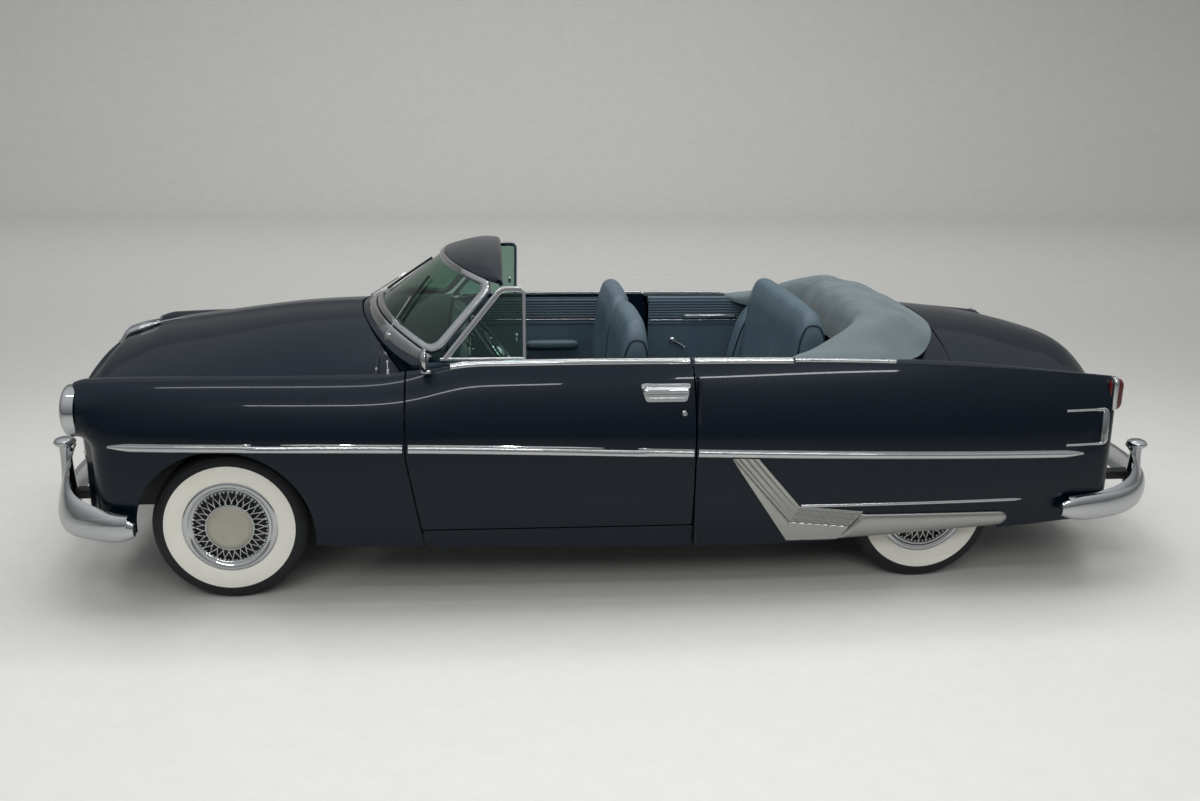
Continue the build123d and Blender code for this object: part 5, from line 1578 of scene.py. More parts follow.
@dataclass
class Screen:
    """The windscreen's glass, bright frame, painted header and apron, with its wipers and inner mirror."""

    skin: Skin
    depth: float = 0.005

    def surface(self, t: Array, a: Array) -> Array:
        """Points of the glass: each line across is a circle's arc through both corners and the middle.

        Args:
            t: 0 at the foot's arc to 1 at the head's.
            a: -1 on the left to 1 on the right.

        Returns:
            The points.
        """
        low, high = np.asarray(SCREEN_MM, float) * MM
        cx, cy, cz, mx, mz = np.moveaxis(low + (high - low) * t[..., None], -1, 0)
        dx, dz = cx - mx, cz - mz
        sag = np.hypot(dx, dz)
        r = (cy ** 2 + sag ** 2) / (2 * sag)
        lean = a * np.arcsin(cy / r)
        away = r * (1 - np.cos(lean)) / sag
        return join(AXLE_X + mx + dx * away, r * np.sin(lean), mz + dz * away)

    def facing(self, t: Array, a: Array) -> Array:
        """Outward directions of the glass, from its slopes.

        Args:
            t: Up the glass, as for surface.
            a: Across it.

        Returns:
            Unit directions.
        """
        tiny = 1e-3
        along = self.surface(t + tiny, a) - self.surface(t - tiny, a)
        across = self.surface(t, a + tiny) - self.surface(t, a - tiny)
        way = np.cross(along, across)
        return way / np.linalg.norm(way, axis=-1, keepdims=True)

    def glass(self) -> Shape:
        """The curved pane."""
        t, a = np.meshgrid(np.linspace(0.035, 0.975, 20), np.linspace(-0.975, 0.975, 60), indexing="ij")
        return grid(self.surface(t, a)).thick(self.depth)

    def frame(self) -> Shape:
        """The bright frame round the glass: a band that follows it, broader at the pillars."""
        w, h = 0.77 * 0.982, 0.39
        loop = np.array([(0, 0.012), (w, 0.012), (w, h * 0.985), (-w, h * 0.985), (-w, 0.012), (0, 0.012)])
        loop = spaced(rounded(loop, 0.055, 12), 200)[:-1]
        a, t = loop[:, 0] / 0.77, loop[:, 1] / h
        wide = 1 + 0.45 * np.clip(np.abs(a) - 0.93, 0, 0.05) / 0.05
        band = sweep(self.surface(t, a), smooth_ring(0.030, 0.028, 18, 0.55), self.facing(t, a),
                     join(wide, np.ones(len(a))), closed=True)
        inner = sweep(self.surface(0.5 + (t - 0.5) * 0.935, a * 0.972), ring(0.005, 10), self.facing(t, a),
                      closed=True)
        return band + inner

    def apron(self) -> Shape:
        """The bright moulding between the cowl and the foot of the frame."""
        v, a = np.meshgrid(np.linspace(0, 1, 9), np.linspace(-1.0, 1.0, 80), indexing="ij")
        high = self.surface(-0.02 + 0 * a, a) + self.facing(0 * a, a) * 0.012
        low = self.surface(0 * a, a) - join(0.052 - 0.022 * a ** 2, 0 * a, 0 * a)
        low[..., 1] *= 1.012
        low[..., 2] = crown_z(in_frame(COWL_MM), low[..., 0], low[..., 1]) + 0.001
        p = low + (high - low) * v[..., None]
        p[..., 2] += 0.012 * np.sin(pi * v) ** 0.8
        return grid(p).thick(0.006)

    def header(self) -> Shape:
        """The painted header: from the head of the glass back to its rear edge, lightly arched, and 18 mm thick."""
        v, a = np.meshgrid(np.concatenate([np.linspace(0, 0.92, 16), np.linspace(0.94, 1, 5)]),
                           np.linspace(-1, 1, 70), indexing="ij")
        front = self.surface(1.03 + 0 * a, a * 1.01) + self.facing(1.0 + 0 * a, a) * 0.010
        y = 0.710 * a
        big = (0.710 ** 2 + 0.081 ** 2) / (2 * 0.081)
        rear = join(1.206 + AXLE_X + 0 * a, y, 1.482 - big + np.sqrt(big ** 2 - y ** 2))
        p = front + (rear - front) * v[..., None]
        p[..., 2] += 0.014 * np.sin(pi * v) - 0.010 * np.clip((v - 0.92) / 0.08, 0, 1) ** 2
        return grid(p).thick(0.018)

    def wipers(self) -> Shape:
        """Two wipers: a pivot on the cowl, an arm and a blade that lies on the glass."""
        made = NOTHING
        for a0, a1 in ((-0.62, -0.30), (0.10, 0.44)):
            t = np.linspace(0.10, 0.70, 12)
            a = a0 + (a1 - a0) * t
            lift = self.facing(t, a)
            blade = self.surface(t, a) + lift * 0.012
            foot = self.surface(np.array([0.0]), np.array([a0]))[0] - [0.045, 0, 0]
            foot[2] = crown_z(in_frame(COWL_MM), foot[0], foot[1]) + 0.004
            arm = np.linspace(foot + [0, 0, 0.020], blade[5] + lift[5] * 0.012, 8)
            boss = lathe([(-0.01, 0), (-0.01, 0.014), (0.010, 0.013), (0.022, 0.008), (0.026, 0)], foot,
                         (0, 0, 1), 24)
            made = made + sweep(blade, smooth_ring(0.006, 0.012), lift).look(1)
            made = made + sweep(arm, ring(0.0032, 10), [0, 0, 1]) + boss
        return made

    def inner_mirror(self) -> Shape:
        """The mirror under the header's middle, on its stem."""
        place = np.array([1.010 + AXLE_X, 0.0, 1.372])
        stem = bar(place + [-0.01, 0, 0], place + [-0.028, 0, 0.055], 0.005, 12)
        return pillow(place, (0.010, 0.100, 0.026), 0.0095, 20) + stem

    def build(self) -> None:
        """Makes and reports the screen's pieces."""
        put("screen_pane", self.glass(), [GLASS], "body", "screen_glass", ["windscreen_glass"])
        put("screen_frame", self.frame() + self.apron(), [CHROME], "body", "bright_metal",
            ["windscreen_frame"])
        put("screen_header", self.header(), [ENAMEL], "body", "body_paint", ["windscreen_header"],
            bevel=0.003)
        put("wipers", self.wipers(), [CHROME, SEAL], "body", "bright_metal")
        put("inner_mirror", self.inner_mirror(), [CHROME], "body", "bright_metal")


# Bumper plans: x and y of the outer face from the middle to the wrapped end, in mm
FRONT_PLAN_MM = [(-846, 0), (-842, 200), (-826, 400), (-790, 600), (-716, 800), (-600, 900), (-480, 950),
                 (-372, 968)]
REAR_PLAN_MM = [(4436, 0), (4430, 200), (4404, 400), (4340, 600), (4212, 780), (4060, 886), (3900, 938),
                (3752, 956)]


@dataclass
class Bumper:
    """One bumper: a bowed bar with a bulged face, upright guards with round caps, sculpted wings and its
    brackets."""

    name: str
    plan: list[tuple[float, float]]
    ahead: float
    cap_z: float
    wing: float
    rail_x: float
    guard_y: float = 0.43

    def line(self, at: Array) -> Array:
        """Points of the outer face's plan, at running from 0 in the middle to 7 at the wrapped end."""
        rows = np.column_stack([np.arange(len(self.plan)), np.asarray(self.plan, float) * MM])
        x, y = np.moveaxis(through(rows, at), -1, 0)
        return join(x + AXLE_X, y, 0 * x)

    def outward(self, at: Array) -> Array:
        """Outward directions of the plan, across its slope.

        Args:
            at: Places along the plan, as for line.

        Returns:
            Unit directions.
        """
        slope = self.line(at + 1e-3) - self.line(at - 1e-3)
        way = join(-slope[..., 1], slope[..., 0], 0 * slope[..., 0]) * -np.sign(self.ahead)
        way = way / np.linalg.norm(way, axis=-1, keepdims=True)
        return way * np.where(way[..., :1] * self.ahead + way[..., 1:2] * 0.5 > 0, 1, -1)

    def bar(self) -> Shape:
        """The bar: a tall bulged face that thins out towards its wrapped ends."""
        at = np.linspace(0, 7, 60)
        right, out = self.line(at), self.outward(at)
        path, out = np.vstack([right[:0:-1] * [1, -1, 1], right]), np.vstack([out[:0:-1] * [1, -1, 1], out])
        at = np.concatenate([at[:0:-1], at])
        size = 1 - 0.50 * np.clip((at - 5.9) / 1.1, 0, 1) ** 2.5
        path = path - out * 0.022 + np.array([0, 0, 0.383])
        turn = np.linspace(-pi / 2, pi / 2, 19)
        face = join(np.sin(turn) * 0.061, -0.008 + 0.031 * np.cos(turn) ** 0.75)
        profile = np.vstack([face, [[0.056, -0.018], [0.020, -0.020], [-0.020, -0.020], [-0.056, -0.018]]])
        return sweep(path, profile, out, join(size, 0.4 + 0.6 * size))

    def side_wing(self) -> Shape:
        """The right wing: a plate on the bar that sweeps up to the guard in a hollow curve, its face
        bulged."""
        start = float(np.interp(self.guard_y - 0.02, np.asarray(self.plan)[:, 1] * MM,
                                np.arange(len(self.plan))))
        t, h = np.meshgrid(np.linspace(0, 1, 44), np.linspace(0, 1, 12), indexing="ij")
        at = start + (6.75 - start) * t
        top = 0.045 + self.wing * (1 - t) ** 1.7
        p, out = self.line(at), self.outward(at)
        bulge = 0.030 * np.sqrt(np.maximum(1 - h ** 2, 0)) - 0.036 - 0.030 * h * (1 - t)
        p = p + out * bulge[..., None]
        p[..., 2] = 0.395 + top * h
        return grid(p).thick(0.007)

    def guard(self) -> Shape:
        """The right guard: a blade that widens into the bar, under a round cap."""
        x = self.line(np.interp([self.guard_y], np.asarray(self.plan)[:, 1] * MM,
                                np.arange(len(self.plan))))[0, 0]
        x -= self.ahead * 0.022
        tall = self.cap_z - 0.33
        rows = np.linspace(0, 1, 22)
        half_x = 0.020 + 0.026 * (1 - rows) ** 2 + 0.010 * rows ** 4
        half_y = 0.026 + 0.026 * (1 - rows) ** 1.5
        turn = np.linspace(0, 2 * pi, 28, endpoint=False)
        points = join(x + half_x[:, None] * np.cos(turn), self.guard_y + half_y[:, None] * np.sin(turn),
                        (0.33 + (tall - 0.02) * rows)[:, None] + 0 * turn)
        blade = capped(points)
        cap = pillow((x, self.guard_y, self.cap_z - 0.024), (0.048, 0.050, 0.024), (0.046, 0.048, 0.0235),
                     28)
        return blade + cap

    def build(self) -> None:
        """Makes and reports the bumper."""
        near, far = sorted((self.rail_x + AXLE_X, self.plan[0][0] * MM + AXLE_X - self.ahead * 0.05))
        right = self.side_wing() + self.guard() + box((near, 0.362, 0.344), (far, 0.428, 0.384)).look(1)
        put(self.name + "_plated", self.bar() + right.twin(), [CHROME, CHASSIS], "body", "bright_metal",
            [self.name], bevel=0.001)


@dataclass
class Lamps:
    """Headlamps in bright rims, and the red tail lamps in their bezels."""

    tail_y: float = 0.826
    tail_z: float = 0.900

    def build(self) -> None:
        """Makes and reports the lamps of both sides."""
        centre = (LAMP_FACE_X - 0.002, LAMP_Y, LAMP_Z)
        rim = lathe([(-0.040, 0.104), (-0.040, 0.1115), (-0.010, 0.1125), (0.000, 0.1135), (0.010, 0.110),
                     (0.017, 0.102), (0.019, 0.094), (0.016, 0.089), (0.004, 0.087), (0.000, 0.087)],
                    centre, (-1, 0, 0), 96)
        put("lamp_rims", rim.twin(), [CHROME], "body", "bright_metal", ["headlamp_rims"])
        bowl = lathe([(0.000, 0.0), (0.000, 0.020), (0.003, 0.060), (0.006, 0.087), (0.004, 0.088),
                      (-0.001, 0.060), (-0.003, 0.0)], centre, (-1, 0, 0), 72)
        bulb = lathe([(0.000, 0.0), (0.000, 0.010), (0.012, 0.010), (0.014, 0.006), (0.014, 0.0)], centre,
                     (-1, 0, 0), 24)
        put("lamp_bowls", (bowl + bulb).twin(), [CHROME], "body", "bright_metal")
        dome = lathe([(0.006, 0.0), (0.006, 0.030), (0.006, 0.060), (0.007, 0.087), (0.011, 0.087),
                      (0.015, 0.078), (0.019, 0.062), (0.0225, 0.045), (0.025, 0.026), (0.026, 0.010),
                      (0.026, 0.0)], centre, (-1, 0, 0), 144)
        p = dome.points
        front = p[:, 0] < centre[0] - 0.008
        p[:, 0] -= front * 0.0007 * np.cos(2 * pi * p[:, 1] / 0.011)
        put("lamp_lenses", dome.twin(), [LAMP], "body", "lamp_glass", ["headlamp_lenses"])
        red = pillow((3.997 + AXLE_X, self.tail_y, self.tail_z), (0.034, 0.027, 0.074),
                     (0.030, 0.026, 0.034), 36)
        put("tail_lamp_lenses", red.twin(), [RED_LENS], "body", "tail_glass", ["tail_lamps"])
        bezel = pillow((3.986 + AXLE_X, self.tail_y, self.tail_z), (0.016, 0.035, 0.083),
                       (0.012, 0.032, 0.038), 36)
        put("tail_lamp_bezels", bezel.twin(), [CHROME], "body", "bright_metal")


@dataclass
class Nose:
    """The grille in its frame, and the bonnet's ornament and lip."""

    skin: Skin

    def plan_x(self, y: Array) -> Array:
        """The nose's x at each place across."""
        return through(self.skin.nose, np.abs(y))[..., 0]

    def grille(self) -> Shape:
        """Three round bars over upright fins, in a bright frame round the opening."""
        y = np.linspace(-0.590, 0.590, 50)
        made = NOTHING
        for z, high in ((0.623, 0.013), (0.693, 0.016), (0.763, 0.013)):
            path = join(self.plan_x(y) + 0.004, y, 0 * y + z)
            made = made + sweep(path, smooth_ring(high * 2, 0.040, 18, 0.85), [-1, 0, 0])
        fins = np.linspace(-0.55, 0.55, 23)
        for place, x in zip(fins, self.plan_x(fins)):
            made = made + box((x + 0.026, place - 0.004, 0.598), (x + 0.048, place + 0.004, 0.788))
        loop = np.array([(0, 0.583), (0.598, 0.583), (0.598, 0.802), (-0.598, 0.802), (-0.598, 0.583),
                         (0, 0.583)])
        loop = spaced(rounded(loop, 0.045, 10), 240)[:-1]
        edge, out = self.skin.lie(join(self.plan_x(loop[:, 0]), loop[:, 0], loop[:, 1]))
        return made + sweep(edge, smooth_ring(0.022, 0.018, 12, 0.8), out, closed=True)

    def ornament(self) -> Shape:
        """The ornament: a low winged body on the bonnet's middle that thins out into a spear, and the lip
        on the edge below."""
        x = np.linspace(-0.648, -0.330, 48)
        crown_z = through(self.skin.bonnet, x + AXLE_X)[..., 2]
        t = (x - x[0]) / (x[-1] - x[0])
        wide = np.interp(t, [0, 0.05, 0.14, 0.35, 0.60, 0.64, 1], [0.10, 0.7, 1, 0.86, 0.34, 0.20, 0.05])
        high = np.interp(t, [0, 0.05, 0.16, 0.40, 0.60, 0.64, 1], [0.10, 0.6, 0.9, 1, 0.42, 0.22, 0.08])
        path = join(x + AXLE_X, 0 * x, crown_z + 0.006 + 0.006 * np.sin(pi * t))
        body = sweep(path, smooth_ring(0.100, 0.046, 28, 0.9), [0, 0, 1], join(wide, high))
        keel = sweep(path[2:32] + [0, 0, 0.016], smooth_ring(0.012, 0.026, 12, 0.9), [0, 0, 1],
                     np.sin(np.linspace(0.25, pi - 0.1, 30)))
        y = np.linspace(-0.26, 0.26, 50)
        edge = through(self.skin.bonnet, np.full_like(y, -0.659 + AXLE_X))[..., 0]
        lip = join(-0.6605 + AXLE_X + 0 * y, y, 0.950 - 0.018 * (y / edge) ** 2)
        return body + keel + sweep(lip, smooth_ring(0.034, 0.016, 16, 0.85), [-1, 0, 0.1],
                                   np.cos(y / 0.26 * 1.35) ** 0.6)

    def build(self) -> None:
        """Makes and reports the nose's pieces."""
        put("grille_bars", self.grille(), [CHROME], "body", "bright_metal", ["grille"], bevel=0.001)
        put("bonnet_ornament", self.ornament(), [CHROME], "bonnet_body", "bright_metal")


@dataclass
class SmallParts:
    """The driver's door mirror and the aerial's stub, at their places from the front axle."""

    mirror: tuple[float, float, float] = (0.863, -0.903, 1.106)
    aerial: tuple[float, float, float] = (0.706, -0.800, 0.992)

    def build(self) -> None:
        """Makes and reports the small outer parts, which stand on the driver's side."""
        head = np.array(self.mirror) + [AXLE_X, 0, 0]
        shell = lathe([(-0.022, 0), (-0.020, 0.018), (-0.012, 0.038), (0.000, 0.051), (0.008, 0.055),
                       (0.012, 0.054), (0.010, 0.050), (0.009, 0.0)], head, (1, 0, 0), 56)
        foot = np.array([0.872 + AXLE_X, -0.868, 1.045])
        stem = sweep(np.linspace(foot, head + [-0.006, 0.004, -0.02], 8), ring(0.0075, 14), [1, 0, 0],
                     np.linspace(1.5, 0.9, 8))
        base = pillow(foot, (0.024, 0.014, 0.010), (0.022, 0.013, 0.0095), 20)
        put("door_mirror", shell + stem + base, [CHROME], "door_left_body", "bright_metal")
        root = np.array(self.aerial) + [AXLE_X, 0, 0]
        aerial = lathe([(0.0, 0), (0.0, 0.020), (0.008, 0.019), (0.014, 0.012), (0.022, 0.009),
                        (0.050, 0.007), (0.052, 0.004), (0.082, 0.0035), (0.084, 0.006), (0.090, 0.006),
                        (0.093, 0.003), (0.093, 0)], root, (0, -0.12, 1), 28)
        put("aerial_stub", aerial, [CHROME], "body", "bright_metal")


def around(shape: Shape, count: int) -> Shape:
    """Copies of a shape at equal turns round the wheel's axle, all worked out at once.

    Args:
        shape: The first copy.
        count: How many copies.

    Returns:
        All the copies.
    """
    turn = (np.arange(count) * 2 * pi / count)[:, None]
    x, y, z = shape.points.T
    points = join(x * np.cos(turn) + z * np.sin(turn), y, z * np.cos(turn) - x * np.sin(turn))
    shift = (np.arange(count) * len(shape.points))[:, None, None]
    faces = np.where(shape.faces >= 0, shape.faces[None] + shift, -1)
    return Shape(points.reshape(-1, 3), faces.reshape(-1, shape.faces.shape[1]),
                 np.tile(shape.looks, count))


def spun(profile: Rows, count: int) -> Shape:
    """A section turned round the wheel's axle: rows of height out along y and radius."""
    return lathe(profile, (0, 0, 0), (0, 1, 0), count)


# Tyre section: distance out from the middle and radius, in mm; the white band lies between the two radii
# of WHITE_MM
TYRE_MM = [(60, 197), (66, 199), (75, 201), (80, 206), (83, 212), (86, 224), (89, 240), (91, 262),
           (90.5, 276), (90, 283), (91.2, 285), (90.6, 288), (88, 300), (84, 311), (80, 317), (80.5, 319),
           (78, 322), (72, 328), (66, 333), (58, 336.5),
           (54, 337.2), (50, 337.8), (49, 330), (45, 330), (44, 338.4), (36, 339.2), (28, 339.6), (27, 331),
           (23, 331),
           (22, 339.9), (12, 340), (3, 340), (2, 331.5), (0, 331.5)]
WHITE_MM = (204, 283.5)


@dataclass
class Wheel:
    """A wheel at the origin with its axle along y, outer side at +y: its tyre, rim, wire cover and cap."""

    spokes: int = 56
    waves: int = 60

    def tyre(self) -> Shape:
        """The tyre: its section turned round, the tread's grooves bent to a zigzag by a wave of the
        angle."""
        half = np.asarray(TYRE_MM, float) * MM
        made = spun(np.vstack([half, half[-2::-1] * [-1, 1]]), 3 * self.waves)
        p = made.points
        angle, far = np.arctan2(p[:, 2], p[:, 0]), np.hypot(p[:, 0], p[:, 2])
        inside = np.clip((0.055 - np.abs(p[:, 1])) / 0.006, 0, 1) * (far > 0.325)
        p[:, 1] += 0.0032 * inside * np.sin(angle * self.waves)
        middle = p[np.maximum(made.faces, 0)].mean(axis=1)
        radius = np.hypot(middle[:, 0], middle[:, 2]) / MM
        white = (radius > WHITE_MM[0]) & (radius < WHITE_MM[1]) & (middle[:, 1] > 0.070)
        return Shape(p, made.faces, white.astype(int))

    def rim(self) -> Shape:
        """The bright trim ring, the painted rim behind it and the brake drum."""
        ring_ = spun([(0.060, 0.161), (0.069, 0.1605), (0.074, 0.163), (0.077, 0.168), (0.0755, 0.173),
                      (0.0755, 0.177),
                       (0.079, 0.181), (0.083, 0.187), (0.084, 0.194), (0.083, 0.201), (0.079, 0.2065),
                      (0.074, 0.208),
                       (0.070, 0.206), (0.066, 0.190), (0.058, 0.170)], 128)
        barrel = spun([(0.068, 0.204), (0.064, 0.196), (0.030, 0.186), (0.0, 0.181), (-0.050, 0.188),
                       (-0.068, 0.207),
                        (-0.069, 0.200), (-0.050, 0.181), (0.0, 0.174), (0.030, 0.178), (0.060, 0.188)], 96)
        drum = spun([(-0.040, 0.046), (-0.040, 0.148), (0.008, 0.148), (0.014, 0.140), (0.014, 0.046)], 72)
        fins = spun([(-0.030, 0.146), (-0.030, 0.153), (-0.026, 0.153), (-0.026, 0.146)], 72)
        fins = fins + fins.moved((0, 0.012, 0)) + fins.moved((0, 0.024, 0))
        disc = spun([(0.048, 0.0), (0.048, 0.100), (0.052, 0.120), (0.052, 0.171), (0.046, 0.171),
                     (0.046, 0.122),
                      (0.042, 0.100), (0.042, 0.0)], 72)
        return ring_ + barrel.look(1) + (drum + fins).look(2) + disc.look(1)

    def cover(self) -> Shape:
        """The wires: bent bars from the cap's collar to the trim ring, each turned a little forward or
        back, and the cap."""
        t = np.linspace(0, 1, 7)
        radius = 0.099 + (0.165 - 0.099) * t
        made = NOTHING
        for way in (-1, 1):
            lean = way * 0.105 * (t - 0.5) * 2
            depth = 0.078 - 0.010 * t + 0.005 * np.sin(pi * t) + way * 0.0016
            path = join(radius * np.cos(lean), depth, radius * np.sin(lean))
            wire = sweep(path, smooth_ring(0.0052, 0.0040, 8, 0.9), [0, 1, 0])
            half = around(wire, self.spokes // 2)
            made = made + half.turned(way * pi / self.spokes, (0, 1, 0), (0, 0, 0))
        nipples = around(pillow((0.160, 0.072, 0), (0.006, 0.004, 0.004), 0.0038, 8), self.spokes)
        collar = spun([(0.060, 0.098), (0.084, 0.0975), (0.089, 0.101), (0.0885, 0.105), (0.084, 0.108),
                       (0.072, 0.109),
                        (0.060, 0.107)], 96)
        cap = spun([(0.058, 0.0), (0.058, 0.099), (0.084, 0.099), (0.0875, 0.095), (0.090, 0.086),
                    (0.0925, 0.084),
                     (0.094, 0.070), (0.0955, 0.050), (0.0965, 0.030), (0.097, 0.012), (0.097, 0.0)], 96)
        return made + nipples + collar + cap.look(3)


@dataclass
class Wheels:
    """The four wheels and tyres at their places."""

    front_track: float = 1.486
    rear_track: float = 1.410

    def build(self) -> None:
        """Makes and reports the wheels: one wheel's mesh, put at each corner and turned about for the left
        side."""
        wheel = Wheel()
        tyre, metal = wheel.tyre(), wheel.rim() + wheel.cover()
        front, rear = self.front_track / 2, self.rear_track / 2
        places = {"fl": (AXLE_X, -front), "fr": (AXLE_X, front), "rl": (REAR_AXLE_X, -rear),
                  "rr": (REAR_AXLE_X, rear)}
        for corner, (x, y) in places.items():
            for name, shape, looks, slot, node in (
                    ("tyre_rubber_", tyre, [RUBBER, WHITEWALL], "tyre_rubber", "tyre_"),
                    ("wheel_wires_", metal, [CHROME, CHASSIS, IRON, ALLOY], "bright_metal", "wheel_")):
                set_ = shape.turned(pi, (0, 0, 1), (0, 0, 0)) if y < 0 else shape
                put(name + corner, set_.moved((x, y, AXLE_Z)), looks, f"wheel_{corner}_body", slot,
                    [node + corner])


@dataclass(frozen=True)
class Pleats:
    """Sewn pleats on one face of a cushion: which way the face looks, how far apart they are, how deep,
    and the border kept."""

    face: tuple[float, float]
    pitch: float = 0.062
    depth: float = 0.009
    border: float = 0.11


@dataclass
class Cushion:
    """A stuffed cushion: a closed section in x and z, carried across the car with soft ends, a crown and
    sewn pleats."""

    corners: list[tuple[float, float]]
    low: float
    high: float
    round: float = 0.055
    soft: float = 0.050
    crown: float = 0.012
    pleats: Pleats | None = None
    shoulder: float = 0.0
    step: float = 0.0075

    def section(self) -> tuple[Array, Array]:
        """Points of the section with its corners rounded, and the outward directions."""
        c = np.asarray(self.corners, float) * MM + np.array([AXLE_X, 0])
        start = (c[0] + c[-1]) / 2
        loop = spaced(rounded(np.vstack([start, c, start]), self.round, 9), 85)[:-1]
        along = np.roll(loop, -1, 0) - np.roll(loop, 1, 0)
        out = join(along[:, 1], -along[:, 0])
        out /= np.linalg.norm(out, axis=1, keepdims=True)
        area = np.sum(loop[:, 0] * np.roll(loop[:, 1], -1) - np.roll(loop[:, 0], -1) * loop[:, 1])
        return loop, out if area > 0 else -out

    def points(self, y: Array) -> Array:
        """Points of the surface, one row for each place across.

        Args:
            y: The places.

        Returns:
            The points by place and by place round the section.
        """
        loop, out = self.section()
        away = np.minimum(y - self.low, self.high - y)
        near = np.clip(1 - away / self.soft, 0, 1)
        half = (self.high - self.low) / 2
        rise = 1 - ((y - self.low) / half - 1) ** 2
        bulge = self.crown * rise - self.soft * (1 - np.sqrt(1 - near ** 2))
        shift = np.broadcast_to(bulge[:, None], (len(y), len(loop))).copy()
        if self.pleats:
            face = np.clip((out @ np.asarray(self.pleats.face) - 0.72) / 0.2, 0, 1)
            inside = np.clip((away - self.pleats.border) / 0.02, 0, 1)
            wave = np.abs(np.sin(pi * (y - (self.low + self.high) / 2) / self.pleats.pitch)) ** 0.6 - 1
            shift += self.pleats.depth * (wave * inside)[:, None] * face[None, :]
            edge = np.exp(-((away - self.pleats.border + 0.006) / 0.007) ** 2)
            shift -= 0.006 * edge[:, None] * face[None, :]
        flat = loop[None] + out[None] * shift[..., None]
        if self.shoulder:
            fall = self.shoulder * (1 - np.sqrt(1 - np.clip(1 - away / self.shoulder, 0, 1) ** 2))
            low, high = loop[:, 1].min(), loop[:, 1].max()
            flat[..., 1] -= fall[:, None] * np.clip((flat[..., 1] - low) / (high - low) * 1.4 - 0.4, 0, 1)
        return join(flat[..., 0], np.broadcast_to(y[:, None], flat.shape[:2]), flat[..., 1])

    def shape(self) -> Shape:
        """The cushion, closed at both ends, with dark piping round each end."""
        count = max(24, int((self.high - self.low) / self.step))
        ends = self.soft * (1 - np.cos(np.linspace(0, pi / 2, 9)))
        middle = np.linspace(self.low + self.soft, self.high - self.soft, count)[1:-1]
        y = np.concatenate([self.low + ends, middle, self.high - ends[::-1]])
        piping = NOTHING
        for place in (self.low + self.soft * 0.45, self.high - self.soft * 0.45):
            piping = piping + sweep(self.points(np.array([place]))[0], ring(0.0048, 8), [0, 1, 0],
                                    closed=True)
        return capped(self.points(y)) + piping.look(1)


FRONT_BASE_MM = [(1292, 345), (1312, 318), (1772, 318), (1786, 480), (1700, 584), (1420, 600), (1300, 592)]
FRONT_BACK_MM = [(1700, 600), (1800, 575), (1862, 1120), (1838, 1204), (1778, 1204), (1748, 1120)]
REAR_BASE_MM = [(2104, 345), (2124, 285), (2530, 285), (2600, 560), (2590, 592), (2260, 604), (2112, 592)]
REAR_BACK_MM = [(2524, 606), (2630, 606), (2660, 590), (2776, 590), (2700, 1170), (2674, 1222),
                (2612, 1222), (2584, 1150)]
BOLSTER_MM = [(2500, 590), (2790, 590), (2792, 960), (2740, 1050), (2640, 1060), (2560, 960), (2506, 760)]
# The folded top's cover: y, then x and z at six places from its front hem over the top to its rear hem, in
# mm
BOOT_MM = [
    (0, 2850, 1020, 2862, 1130, 2905, 1225, 3010, 1248, 3150, 1215, 3258, 1164),
    (300, 2848, 1020, 2860, 1128, 2902, 1222, 3008, 1244, 3146, 1208, 3252, 1158),
    (520, 2800, 1020, 2815, 1120, 2870, 1205, 2975, 1226, 3110, 1178, 3222, 1122),
    (650, 2640, 1030, 2655, 1092, 2740, 1150, 2880, 1175, 3040, 1138, 3150, 1076),
    (740, 2520, 1050, 2532, 1080, 2640, 1106, 2800, 1122, 2950, 1104, 3072, 1060),
    (800, 2490, 1060, 2496, 1078, 2600, 1090, 2760, 1096, 2900, 1088, 3010, 1056),
    (838, 2492, 1052, 2500, 1060, 2604, 1066, 2760, 1068, 2892, 1062, 2985, 1044),
]


